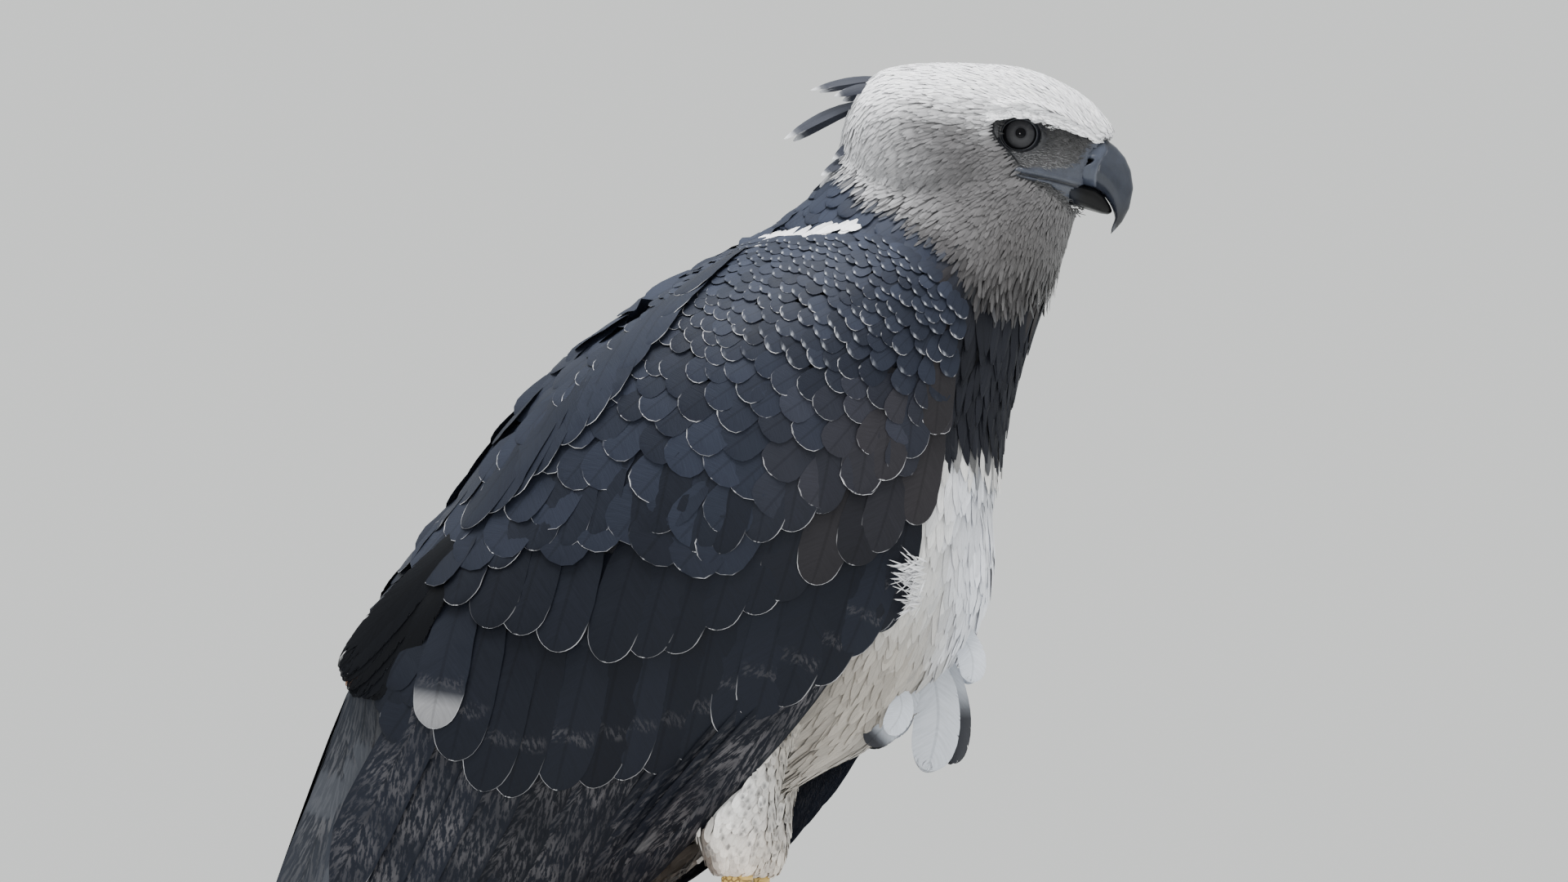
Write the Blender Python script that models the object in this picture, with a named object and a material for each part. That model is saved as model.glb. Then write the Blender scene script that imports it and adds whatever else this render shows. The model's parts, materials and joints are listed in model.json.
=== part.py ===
"""Harpy eagle, life size, as a still museum model that grips a cut branch on a plain stand.

The bird faces +X, its right side faces -Y and +Z is up. The origin is the middle of the
stand's underside. Everything is worked out in millimetres, and solid() sets it in metres.
"""

import math
import random

import bmesh
import bpy
import numpy as np
from mathutils import Vector
from mathutils.bvhtree import BVHTree

MM = 0.001  # metres in a millimetre
GAP = 0.3  # space kept between two nodes that touch

# The photograph shows the bird's right side. One of its 1920 by 1080 pixels is PHOTO_MM wide.
PHOTO_MM = 0.46
PHOTO_MIDDLE = 830  # the column over the origin
PHOTO_FLOOR = 755  # height of the photograph's first row

STAND_SIZE = (460, 320, 18)
ROD_SPREAD, ROD_RADIUS = 104, 6
PERCH_X, PERCH_Z, PERCH_RADIUS, PERCH_LENGTH = 40, 183, 36, 300
FOOT_Y = 52  # the middle of each foot, from the bird's middle plane
WING_THICKNESS = 12.3  # a folded wing where it lies on the body
TURN = math.radians(5)  # the head looks a little to the bird's left

# Rows down the bird with its wings folded: the back line x and z, the front line x and z, and
# half the width. Row 0 lies at the top of the neck, and row 14 near the wing tips.
BODY_ROWS = (
    (88, 661, 220, 617, 48),
    (71, 640, 212, 594, 59),
    (44, 622, 200, 569, 80),
    (9, 603, 190, 539, 95),
    (-32, 578, 182, 504, 106),
    (-71, 546, 178, 461, 112),
    (-101, 511, 174, 415, 114),
    (-125, 475, 150, 369, 112),
    (-150, 443, 105, 329, 106),
    (-175, 409, 60, 294, 98),
    (-190, 374, 15, 264, 90),
    (-203, 329, -30, 229, 80),
    (-214, 289, -65, 199, 70),
    (-225, 249, -90, 175, 60),
    (-236, 209, -105, 150, 52),
)
# The belly behind the wings' hold, and the soft feathers under the tail, in the same way.
RUMP_ROWS = (
    (-166, 366, -2, 289, 66),
    (-172, 338, -62, 284, 48),
    (-181, 308, -122, 279, 31),
    (-186, 284, -160, 270, 15),
)
# Across the head at columns of the photograph: top row, bottom row and half width.
HEAD_ROWS = (
    (1366, 156, 168, 5),
    (1358, 146, 180, 10),
    (1340, 125, 222, 15),
    (1322, 111, 246, 20),
    (1300, 99, 258, 27),
    (1275, 88, 270, 33),
    (1250, 81, 280, 37),
    (1225, 78, 292, 41),
    (1200, 77, 300, 45),
    (1175, 76, 308, 48),
    (1150, 76, 312, 50),
    (1125, 77, 312, 51),
    (1100, 80, 306, 50),
    (1080, 85, 290, 46),
    (1060, 100, 262, 38),
    (1045, 125, 232, 27),
    (1035, 150, 205, 14),
)
EYE = (1247, 165)
EYE_RADIUS = 12.5
EYE_OUT = 34  # how far the eye's surface stands from the middle plane

# The upper bill: ridge column and row, edge column and row, half width.
BILL_ROWS = (
    (1316, 163, 1312, 226, 17.0),
    (1328, 162, 1328, 230, 16.2),
    (1340, 164, 1340, 232, 15.0),
    (1356, 170, 1353, 240, 12.8),
    (1368, 179, 1359, 248, 10.8),
    (1379, 192, 1363, 256, 9.0),
    (1386, 208, 1365, 263, 7.4),
    (1389, 230, 1366, 268, 5.6),
    (1384, 255, 1363, 275, 3.8),
    (1375, 272, 1361, 281, 2.2),
)
BILL_TIP = (1360, 289)
NOSTRIL = (1331, 199)
# The lower bill: column, top row, bottom row and half width.
LOWER_BILL_ROWS = (
    (1286, 222, 230, 17.0),
    (1298, 225, 241, 15.5),
    (1311, 228, 250, 13.6),
    (1326, 232, 255, 11.6),
    (1340, 235, 259, 9.2),
    (1350, 243, 262, 6.6),
    (1358, 251, 263, 4.2),
)
MOUTH = ((1331, 232), (1310, 227), (1287, 222), (1264, 218), (1244, 213))
BROW = ((1212, 152), (1226, 146), (1244, 143), (1270, 147), (1300, 157), (1332, 170))

COLOURS = {
    "stand": (0.10, 0.10, 0.11),
    "wood": (0.52, 0.36, 0.28),
    "white": (0.72, 0.72, 0.74),
    "grey": (0.26, 0.27, 0.31),
    "slate": (0.055, 0.06, 0.085),
    "bill": (0.04, 0.045, 0.06),
    "eye": (0.06, 0.06, 0.065),
    "foot": (0.62, 0.48, 0.16),
}


# Tools for shapes


def side(px, py):
    """A place in the photograph as x and z on the bird's middle plane."""
    return (px - PHOTO_MIDDLE) * PHOTO_MM, PHOTO_FLOOR - PHOTO_MM * py


def between(rows, t):
    """The values at t along a table's rows, on a Catmull-Rom curve."""
    rows = np.asarray(rows, float)
    t = np.clip(t, 0, len(rows) - 1)
    i = np.clip(np.floor(t).astype(int), 0, len(rows) - 2)
    f = (t - i)[..., None]
    a, b, c, d = (rows[np.clip(i + k, 0, len(rows) - 1)] for k in (-1, 0, 1, 2))
    return b + 0.5 * f * (c - a + f * (2 * a - 5 * b + 4 * c - d + f * (3 * (b - c) + d - a)))


def ease(low, high, value):
    """0 below low, 1 above high, and a soft step between them."""
    f = np.clip((np.asarray(value, float) - low) / (high - low), 0, 1)
    return f * f * (3 - 2 * f)


def ellipse_point(row, angle):
    """A point on a row's ellipse. The angle is 0 on the back, 180 in front, and left is positive."""
    a = np.radians(angle)
    x = (row[..., 0] + row[..., 2]) / 2 - (row[..., 2] - row[..., 0]) / 2 * np.cos(a)
    z = (row[..., 1] + row[..., 3]) / 2 - (row[..., 3] - row[..., 1]) / 2 * np.cos(a)
    return np.stack([x, row[..., 4] * np.sin(a), z], axis=-1)


def body(t, angle, rise=0.0):
    """Points on the outer shape of the bird with its wings folded, raised along its normals."""
    t, angle, rise = np.broadcast_arrays(np.asarray(t, float), angle, rise)
    middle = ellipse_point(between(BODY_ROWS, t), angle)
    down = ellipse_point(between(BODY_ROWS, np.clip(t + 0.03, 0, 14)), angle)
    down = down - ellipse_point(between(BODY_ROWS, np.clip(t - 0.03, 0, 14)), angle)
    around = ellipse_point(between(BODY_ROWS, t), angle + 0.5)
    around = around - ellipse_point(between(BODY_ROWS, t), angle - 0.5)
    normal = np.cross(around, down)
    normal /= np.linalg.norm(normal, axis=-1, keepdims=True)
    return middle + normal * rise[..., None]


def solid(name, points, faces, colour="white", rough=0.7):
    """A mesh object with its faces turned out, from points in millimetres."""
    mesh = bpy.data.meshes.new(name)
    mesh.from_pydata([Vector(p) * MM for p in points], [], faces)
    work = bmesh.new()
    work.from_mesh(mesh)
    bmesh.ops.triangulate(work, faces=work.faces)
    bmesh.ops.recalc_face_normals(work, faces=work.faces)
    work.to_mesh(mesh)
    work.free()
    obj = bpy.data.objects.new(name, mesh)
    bpy.context.scene.collection.objects.link(obj)
    paint(obj, colour, rough)
    return obj


def block(name, low, high, colour="stand", rough=0.5):
    """A box between two corners."""
    (x0, y0, z0), (x1, y1, z1) = low, high
    points = [(x, y, z) for z in (z0, z1) for x, y in ((x0, y0), (x1, y0), (x1, y1), (x0, y1))]
    faces = [(0, 1, 2, 3), (4, 5, 6, 7), (0, 1, 5, 4), (1, 2, 6, 5), (2, 3, 7, 6), (3, 0, 4, 7)]
    return solid(name, points, faces, colour, rough)


def paint(obj, colour, rough=0.7):
    """Gives an object its own plain material."""
    material = bpy.data.materials.new(obj.name)
    material.use_nodes = True
    shader = material.node_tree.nodes["Principled BSDF"]
    shader.inputs["Base Color"].default_value = (*COLOURS[colour], 1)
    shader.inputs["Roughness"].default_value = rough
    obj.data.materials.clear()
    obj.data.materials.append(material)


def loft(name, rings, start=None, end=None, colour="white", rough=0.7):
    """A closed skin over rings of points. start and end close it in a point each."""
    count = len(rings[0])
    points = [p for ring in rings for p in ring]
    faces = []
    for i in range(len(rings) - 1):
        for j in range(count):
            k = (j + 1) % count
            faces.append((i * count + j, i * count + k, (i + 1) * count + k, (i + 1) * count + j))
    last = (len(rings) - 1) * count
    for first, tip in ((0, start), (last, end)):
        if tip is None:
            faces.append(tuple(first + j for j in range(count)))
            continue
        points.append(tip)
        for j in range(count):
            faces.append((first + j, first + (j + 1) % count, len(points) - 1))
    return solid(name, points, faces, colour, rough)


def tube(name, path, radii, sides=8, flat=1.0, colour="foot", rough=0.6, pointed=False):
    """A tube along a path, with a radius at each point. flat squeezes it in height."""
    path = [Vector(p) for p in path]
    rings = []
    for i, point in enumerate(path):
        along = (path[min(i + 1, len(path) - 1)] - path[max(i - 1, 0)]).normalized()
        across = along.cross(Vector((0, 0, 1)))
        if across.length < 0.2:
            across = Vector((0, 1, 0))
        across.normalize()
        if rings and across.dot(sideways) < 0:  # no half turn between two rings
            across = -across
        sideways = across
        up = across.cross(along).normalized()
        ring = []
        for j in range(sides):
            a = 2 * math.pi * (j + 0.5) / sides
            ring.append(point + across * math.cos(a) * radii[i] + up * math.sin(a) * radii[i] * flat)
        rings.append(ring)
    tip = path[-1] + (path[-1] - path[-2]).normalized() * radii[-1] * 0.6 if pointed else None
    return loft(name, rings, None, tip, colour, rough)


def ball(name, centre, radius, stretch=(1, 1, 1), rings=12, sides=16, colour="eye", rough=0.1):
    """A sphere with its poles along Y."""
    cx, cy, cz = centre
    loops = []
    for i in range(1, rings):
        a = math.pi * i / rings
        loops.append(
            [
                (
                    cx + radius * stretch[0] * math.sin(a) * math.cos(2 * math.pi * j / sides),
                    cy + radius * stretch[1] * math.cos(a),
                    cz + radius * stretch[2] * math.sin(a) * math.sin(2 * math.pi * j / sides),
                )
                for j in range(sides)
            ]
        )
    first, last = (cx, cy + radius * stretch[1], cz), (cx, cy - radius * stretch[1], cz)
    return loft(name, loops, first, last, colour, rough)


def modify(obj, movable, least=0.5, **settings):
    """Applies one Boolean, with the second solver where the first leaves the mesh open.

    Where both do, because an edge lies on a face, the movable shapes shift by a hundredth of a
    millimetre and it is tried again.
    """
    before, draw = obj.data, random.Random(1)
    for solver in ("EXACT", "MANIFOLD") * 5:
        obj.data = before
        modifier = obj.modifiers.new("cut", "BOOLEAN")
        modifier.solver = solver
        for key, value in settings.items():
            setattr(modifier, key, value)
        graph = bpy.context.evaluated_depsgraph_get()
        mesh = bpy.data.meshes.new_from_object(obj.evaluated_get(graph))
        obj.modifiers.clear()
        for near, method in ((2e-6, "BEAUTY"), (2e-6, "EAR_CLIP"), (3e-7, "BEAUTY")):
            obj.data = mesh.copy()
            tidy(obj, near, method)
            if volume(obj.data) > least * volume(before):
                return
        if solver == "MANIFOLD":
            for other in movable:
                other.location += Vector([draw.uniform(-1, 1) * 0.02 * MM for _ in range(3)])
    raise ValueError(f"no closed result for {obj.name}")


def volume(mesh):
    """The volume in a closed mesh, and 0 for one that isn't closed."""
    work = bmesh.new()
    work.from_mesh(mesh)
    closed = len(work.faces) > 3 and all(len(edge.link_faces) == 2 for edge in work.edges)
    inside = work.calc_volume() if closed else 0.0
    work.free()
    return inside


def thin_out(obj, triangles):
    """Merges the smallest triangles that a union leaves until about so many are left."""
    obj.data.calc_loop_triangles()
    before, count = obj.data, len(obj.data.loop_triangles)
    for share in (1.0, 1.03, 0.97, 1.06, 0.94, 1.1):
        obj.data = before
        modifier = obj.modifiers.new("fewer", "DECIMATE")
        modifier.ratio = min(1.0, triangles * share / count)
        graph = bpy.context.evaluated_depsgraph_get()
        mesh = bpy.data.meshes.new_from_object(obj.evaluated_get(graph))
        obj.modifiers.clear()
        obj.data = mesh
        tidy(obj)
        if volume(obj.data) > 0.97 * volume(before):
            return
    obj.data = before


def remove(objects):
    for obj in list(objects):
        bpy.data.objects.remove(obj, do_unlink=True)


def tidy(obj, near=0.000002, method="BEAUTY"):
    """Keeps an object's largest closed surface, and drops points that lie on one another."""
    work = bmesh.new()
    work.from_mesh(obj.data)
    bmesh.ops.remove_doubles(work, verts=work.verts, dist=near)
    bmesh.ops.dissolve_degenerate(work, edges=work.edges, dist=near)
    bmesh.ops.triangulate(work, faces=work.faces, ngon_method=method)
    left, groups = set(work.faces), []
    while left:
        stack, group = [left.pop()], []
        while stack:
            face = stack.pop()
            group.append(face)
            for edge in face.edges:
                for other in edge.link_faces:
                    if other in left:
                        left.remove(other)
                        stack.append(other)
        groups.append(group)
    groups.sort(key=lambda group: -sum(face.calc_area() for face in group))
    spare = [face for group in groups[1:] for face in group]
    bmesh.ops.delete(work, geom=spare, context="FACES")
    loose = [edge for edge in work.edges if not edge.link_faces]
    bmesh.ops.delete(work, geom=loose, context="EDGES")
    work.to_mesh(obj.data)
    work.free()


def fuse(obj, others):
    """One Boolean union of an object with others, which are then removed."""
    group = bpy.data.collections.new("fused")
    bpy.context.scene.collection.children.link(group)
    for other in others:
        bpy.context.scene.collection.objects.unlink(other)
        group.objects.link(other)
    modify(obj, others, operation="UNION", operand_type="COLLECTION", collection=group)
    remove(others)
    bpy.data.collections.remove(group)


def carve(obj, cutter, least=0.5):
    """Cuts one solid out of another, which leaves at least a share of its volume."""
    cutter.hide_render = True
    cutter.display_type = "WIRE"
    modify(obj, [cutter], least, operation="DIFFERENCE", object=cutter)
    remove([cutter])


def fit_to(obj, neighbour, least=0.5):
    """Cuts an object back to stand face to face with its neighbour."""
    cutter = neighbour.copy()
    cutter.data = neighbour.data.copy()
    bpy.context.scene.collection.objects.link(cutter)
    work = bmesh.new()
    work.from_mesh(cutter.data)
    work.normal_update()
    moves = [vertex.normal * GAP * MM * vertex.calc_shell_factor() for vertex in work.verts]
    for vertex, move in zip(work.verts, moves):
        vertex.co += move
    work.to_mesh(cutter.data)
    work.free()
    carve(obj, cutter, least)


def smooth_room(obj, spare):
    """A plain closed shape that holds an object and a little space all round it."""
    room = obj.copy()
    room.data = obj.data.copy()
    bpy.context.scene.collection.objects.link(room)
    for kind, settings in (
        ("DISPLACE", {"strength": spare * MM, "mid_level": 0.0}),
        ("REMESH", {"mode": "VOXEL", "voxel_size": 2.5 * MM}),
        ("DECIMATE", {"ratio": 0.06}),
    ):
        modifier = room.modifiers.new(kind.lower(), kind)
        for key, value in settings.items():
            setattr(modifier, key, value)
    graph = bpy.context.evaluated_depsgraph_get()
    mesh = bpy.data.meshes.new_from_object(room.evaluated_get(graph))
    room.modifiers.clear()
    room.data = mesh
    tidy(room)
    return room


def cut_plane(obj, point, normal, keep_outer=True):
    """Cuts an object by a plane and closes it there, keeping the side that the normal points to."""
    work = bmesh.new()
    work.from_mesh(obj.data)
    cut = bmesh.ops.bisect_plane(
        work,
        geom=work.verts[:] + work.edges[:] + work.faces[:],
        plane_co=Vector(point) * MM,
        plane_no=Vector(normal),
        clear_inner=keep_outer,
        clear_outer=not keep_outer,
        dist=1e-7,
    )
    edges = [e for e in cut["geom_cut"] if isinstance(e, bmesh.types.BMEdge)]
    bmesh.ops.contextual_create(work, geom=edges)
    bmesh.ops.recalc_face_normals(work, faces=work.faces)
    work.to_mesh(obj.data)
    work.free()
    tidy(obj)


def turn_head(obj, low=592, high=640):
    """Turns what lies above the shoulders about the upright line through the neck."""
    for vertex in obj.data.vertices:
        x, y, z = vertex.co / MM
        angle = TURN * float(ease(low, high, z + 0.33 * (x - 120)))
        x -= 120
        turned_x = x * math.cos(angle) - y * math.sin(angle)
        turned_y = x * math.sin(angle) + y * math.cos(angle)
        vertex.co = Vector((turned_x + 120, turned_y, z)) * MM


# Body


def cover(t, angle):
    """How deep the body lies under the outer shape: as deep as the wing that covers it."""
    a = np.abs(angle)
    sides = ease(6, 26, a) * np.where(a > 128, np.cos(np.radians((a - 128) * 90 / 52)) ** 2, 1)
    belly = 15 * ease(7.8, 9, t) * ease(115, 175, a)
    return WING_THICKNESS * sides * ease(0.6, 2.2, t) + belly


BODY_ANGLES = (0, 9, 18, 30, 45, 60, 75, 90, 105, 120, 133, 146, 158, 169)
BODY_ANGLES = BODY_ANGLES + tuple(-a for a in (180, *reversed(BODY_ANGLES[1:])))


def body_ring(t):
    angles = np.array(BODY_ANGLES, float)
    return list(body(np.full(len(angles), t), angles, -cover(t, angles)))


def neck_and_torso():
    """The neck down to the shoulders, and the torso from there to the feathers under the tail."""
    angles = np.array(BODY_ANGLES, float)
    parting = 2.5
    upper = [body_ring(t) for t in (0, 0.4, 0.8, 1.2, 1.6, 2.05, parting)]
    lower = [body_ring(t) for t in (parting, *np.arange(3, 9.1, 0.5))]
    lower += [list(ellipse_point(np.array(row, float), angles)) for row in RUMP_ROWS]
    lift = np.array((0.33, 0, 0.94)) * GAP / 2
    upper[-1] = [p + lift for p in upper[-1]]
    lower[0] = [p - lift for p in lower[0]]
    neck = loft("neck", upper, None, None, "grey")
    torso = loft("torso", lower, None, (-178, 0, 262), "white")
    fuse(torso, [hanging_feather(*sizes) for sizes in HANGING_FEATHERS])
    thin_out(torso, 1040)
    return neck, torso


# Loose feathers that hang from the belly in front of the legs: root and tip in the photograph,
# distance to the right of the middle plane, width and lean.
HANGING_FEATHERS = (
    ((1150, 812), (1136, 938), 22, 30, 0.35),
    ((1158, 800), (1168, 930), 12, 20, 0.7),
    ((1132, 825), (1072, 904), 30, 24, 0.3),
)


def hanging_feather(root, tip, out, width, lean):
    x0, z0 = side(*root)
    x1, z1 = side(*tip)
    return blade((x0 - 6, -out, z0), (x1, -out - 4, z1), width, (lean, -1, 0), -3.0, 2.4)


# Head and bill


def head():
    rings = []
    sides = 24
    for px, top, bottom, width in HEAD_ROWS:
        x, z_top = side(px, top)
        z_bottom = side(px, bottom)[1]
        ring = []
        for j in range(sides):
            a = 2 * math.pi * j / sides
            c, s = math.cos(a), math.sin(a)
            y = width * math.copysign(abs(c) ** 0.86, c)
            z = (z_top + z_bottom) / 2 + (z_top - z_bottom) / 2 * math.copysign(abs(s) ** 0.9, s)
            ring.append((x, y, z))
        rings.append(ring)
    front = (*side(1369, 162), 0)
    back = (*side(1030, 178), 0)
    obj = loft("head", rings, (front[0], 0, front[1]), (back[0], 0, back[1]), "white")
    shape_face(obj)
    fuse(obj, [throat()])
    return obj


def throat():
    """The top of the neck where it runs up into the head."""
    angles = np.arange(0, 360, 15.0)
    rows = ((72, 632, 214, 599, 52), BODY_ROWS[0], (98, 690, 225, 634, 42), (120, 706, 214, 652, 26))
    return loft("throat", [list(ellipse_point(np.array(row, float), angles)) for row in rows])


def shape_face(obj):
    """Sinks the skin round each eye, and flattens the cheeks towards the bill."""
    ex, ez = side(*EYE)
    for vertex in obj.data.vertices:
        x, y, z = vertex.co / MM
        away = math.hypot((x - ex) / 24, (z - ez) / 15)
        if abs(y) > 8:
            y -= math.copysign(8.0 * math.exp(-(away**2)), y)
        vertex.co = Vector((x, y, z)) * MM


def brow(sign):
    """The shelf of bone and feathers that hangs over an eye."""
    path, radii = [], (2.4, 4.4, 5.4, 5.6, 5.0, 2.6)
    outs = (34, 35.5, 34.5, 31.5, 25, 14)
    for (px, py), out in zip(BROW, outs):
        x, z = side(px, py)
        path.append((x, sign * out, z + 3.2))
    return tube("brow", path, radii, 8, 0.72, "white", pointed=True)


def lid(sign):
    """The ring of bare skin round an eye."""
    ex, ez = side(*EYE)
    path = []
    for k in range(17):
        a = 2 * math.pi * k / 16
        path.append((ex + 12.2 * math.cos(a), sign * 29.5, ez - 2.4 + 9.6 * math.sin(a)))
    rings = []
    for k in range(16):
        a = 2 * math.pi * k / 16
        centre = Vector(path[k])
        out = Vector((math.cos(a), 0, math.sin(a)))
        ring = []
        for j in range(6):
            b = 2 * math.pi * j / 6
            ring.append(centre + out * 2.6 * math.cos(b) + Vector((0, sign * 2.2 * math.sin(b), 0)))
        rings.append(ring)
    points = [p for ring in rings for p in ring]
    faces = []
    for i in range(16):
        for j in range(6):
            k, m = (i + 1) % 16, (j + 1) % 6
            faces.append((i * 6 + j, i * 6 + m, k * 6 + m, k * 6 + j))
    return solid("lid", points, faces)


def eyes():
    ex, ez = side(*EYE)
    made = []
    for name, sign in (("eye_left", 1), ("eye_right", -1)):
        centre = (ex, sign * (EYE_OUT - EYE_RADIUS), ez - 2.4)
        made.append(ball(name, centre, EYE_RADIUS, rings=10, sides=16))
    return made


def upper_bill():
    """The upper bill with its cere, and a slanted nostril in each side."""
    rings, sides = [], 16
    for px, py, qx, qy, width in BILL_ROWS:
        x0, z0 = side(px, py)
        x1, z1 = side(qx, qy)
        ring = []
        for j in range(sides):
            a = 2 * math.pi * j / sides
            f = 0.5 - 0.5 * math.cos(a)
            out = math.copysign(abs(math.sin(a)) ** 0.8, math.sin(a)) * width
            out *= 0.82 + 0.3 * f - 0.12 * f * f
            ring.append((x0 + (x1 - x0) * f, out, z0 + (z1 - z0) * f))
        rings.append(ring)
    x, z = side(*BILL_TIP)
    obj = loft("bill_upper", rings, None, (x, 0, z), "bill", 0.35)
    nx, nz = side(*NOSTRIL)
    for sign in (1, -1):
        slot = ball("slot", (nx, sign * 15.6, nz), 1.0, (1.5, 3.4, 4.2), 6, 8)
        for vertex in slot.data.vertices:
            vertex.co.x += (vertex.co.z - nz * MM) * 0.55
        carve(obj, slot)
    return obj


def lower_bill():
    rings, sides = [], 12
    for px, top, bottom, width in LOWER_BILL_ROWS:
        x, z_top = side(px, top)
        z_bottom = side(px, bottom)[1]
        ring = []
        for j in range(sides):
            a = 2 * math.pi * j / sides
            f = 0.5 - 0.5 * math.cos(a)
            out = math.copysign(abs(math.sin(a)) ** 0.7, math.sin(a)) * width
            ring.append((x + (0.8 - f) * 1.2, out * (1.1 - 0.3 * f), z_top + (z_bottom - z_top) * f))
        rings.append(ring)
    x, z = side(1364, 260)
    return loft("bill_lower", rings, None, (x, 0, z), "bill", 0.4)


def surface_at(obj, px, py, sign):
    """How far an object's side stands out from the middle plane at a place of the photograph."""
    x, z = side(px, py)
    start = Vector((x, sign * 200, z)) * MM
    hit, place, _, _ = obj.ray_cast(start, Vector((0, -sign, 0)))
    return abs(place.y) / MM if hit else 0.0


def mouth_groove(obj, sign):
    """A cutter along the line of the mouth, back to its corner."""
    path = []
    for px, py in MOUTH[1:]:
        x, z = side(px, py)
        path.append((x, sign * surface_at(obj, px, py, sign), z))
    return tube("groove", path, (1.5, 1.5, 1.5, 1.2), 6, 1.0)


# Crest


def blade(root, tip, width, up, bend=0.0, thick=1.2, ridge=0.35):
    """A free feather from root to tip, with its faces along up and its tip rounded."""
    root, tip, up = Vector(root), Vector(tip), Vector(up)
    along = tip - root
    across = along.cross(up).normalized()
    up = across.cross(along).normalized()
    shares = (0.0, 0.3, 0.62, 0.88, 1.0)
    widths = (0.5, 0.85, 1.0, 0.72, 0.24)
    tops, bottoms = [], []
    for f, w in zip(shares, widths):
        middle = root + along * f + up * bend * math.sin(math.pi * f)
        half = across * (width / 2 * w)
        depth = thick * (1 - 0.5 * f)
        reach = along.normalized() * (width * 0.12 if f == 1 else 0)
        tops += [middle - half, middle + reach + up * ridge, middle + half]
        bottoms += [p - up * depth for p in (middle - half, middle + reach + up * ridge, middle + half)]
    return slab("blade", tops, bottoms, len(shares), 3)


def slab(name, tops, bottoms, rows, columns, colour="slate"):
    """A closed thin solid between two grids of points that face each other."""
    count = rows * columns
    points = [tuple(p) for p in tops] + [tuple(p) for p in bottoms]
    faces = []
    for i in range(rows - 1):
        for j in range(columns - 1):
            a, b = i * columns + j, i * columns + j + 1
            c, d = b + columns, a + columns
            if (i + j) % 2:
                pairs = ((a, b, c), (a, c, d))
            else:
                pairs = ((a, b, d), (b, c, d))
            for tri in pairs:
                faces.append(tri)
                faces.append(tuple(count + k for k in reversed(tri)))
    rim = [j for j in range(columns)]
    rim += [i * columns + columns - 1 for i in range(1, rows)]
    rim += [(rows - 1) * columns + j for j in range(columns - 2, -1, -1)]
    rim += [i * columns for i in range(rows - 2, 0, -1)]
    for k, a in enumerate(rim):
        b = rim[(k + 1) % len(rim)]
        faces.append((a, count + a, count + b))
        faces.append((a, count + b, b))
    return solid(name, points, faces, colour)


# Root and tip in the photograph, distance out from the middle plane, width and lean.
CREST_FEATHERS = (
    ((1080, 92), (1003, 107), 10, 15, 0.45),
    ((1072, 100), (1020, 115), 23, 13, 0.8),
    ((1056, 121), (974, 166), 11, 18, 0.55),
    ((1058, 132), (992, 182), 25, 15, 0.9),
    ((1050, 158), (1016, 198), 13, 13, 0.7),
)


def crest():
    x, z = side(1073, 128)
    pad = ball("crest", (x, 0, z), 1, (19, 34, 24), 8, 12, "slate", 0.7)
    vanes = []
    for (px, py), (qx, qy), out, width, lean in CREST_FEATHERS:
        for sign in (1, -1):
            x0, z0 = side(px, py)
            x1, z1 = side(qx, qy)
            root = (x0, sign * out * 0.8, z0)
            tip = (x1, sign * out * 1.25, z1)
            up = (0.25, sign * lean, 1)
            vanes.append(blade(root, tip, width, up, 2.0, 1.6))
    fuse(pad, vanes)
    thin_out(pad, 560)
    return pad


# Wings


# Rows of the body and the angles between which a folded wing covers it, right and left.
WING_EDGES = (
    (0.0, 16, 118, 118),
    (2.0, 12, 130, 130),
    (3.0, 13, 137, 137),
    (4.3, 13, 141, 143),
    (5.9, 11, 135, 146),
    (7.0, 6, 134, 152),
    (8.0, 4, 136, 160),
    (9.2, 4, 144, 166),
    (10.2, 34, 150, 168),
    (12.5, 58, 156, 168),
    (14.0, 60, 156, 168),
)
WING_TOP = ((0, 2.0), (0.25, 1.45), (0.45, 1.12), (0.62, 1.1), (0.8, 1.35), (1, 2.05))


def wing_edges(t, sign):
    columns = np.array(WING_EDGES)
    back = np.interp(t, columns[:, 0], columns[:, 1])
    front = np.interp(t, columns[:, 0], columns[:, 2 if sign < 0 else 3])
    return back, front


def wing_shell(name, sign):
    """The folded wing without its feathers: a thick cover over the side of the body."""
    rows, columns = 20, 10
    tops, bottoms = [], []
    for i in range(rows):
        for j in range(columns):
            v = j / (columns - 1)
            first = float(np.interp(v, *zip(*WING_TOP)))
            last = 12.1 - 1.1 * v
            f = i / (rows - 1)
            t = first + (last - first) * f
            back, front = wing_edges(t, sign)
            angle = back + (front - back) * v
            inner = -WING_THICKNESS * float(ease(6, 26, angle)) - 2.5
            outer = -0.6 - 4.2 * float(ease(4.4, 5.8, t))
            margin = min(i / 2.0, (columns - 1 - j) / 1.6, 1)
            end = min((rows - 1 - i) / 3.0, 1)
            round_off = math.sqrt(max(0.0, 1 - (1 - margin) ** 2))
            lowest = inner + 5.0
            outer = lowest + (outer - lowest) * round_off
            if t > 10:
                outer = min(outer, -4.8)
                inner = max(inner, -13.0 + 6 * (1 - end))
            tops.append(body(t, sign * angle, outer))
            bottoms.append(body(t, sign * angle, inner))
    return slab(name, tops, bottoms, rows, columns)


def outer_skin():
    """The outer shape as a fine mesh, which the feathers are laid on."""
    rows, angles = np.linspace(0.5, 14, 120), np.arange(-180, 180, 3.0)
    points = body(rows[:, None], angles[None, :]).reshape(-1, 3)
    count = len(angles)
    faces = []
    for i in range(len(rows) - 1):
        for j in range(count):
            k = (j + 1) % count
            faces.append((i * count + j, i * count + k, (i + 1) * count + k, (i + 1) * count + j))
    return BVHTree.FromPolygons([Vector(p) for p in points], faces)


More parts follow.
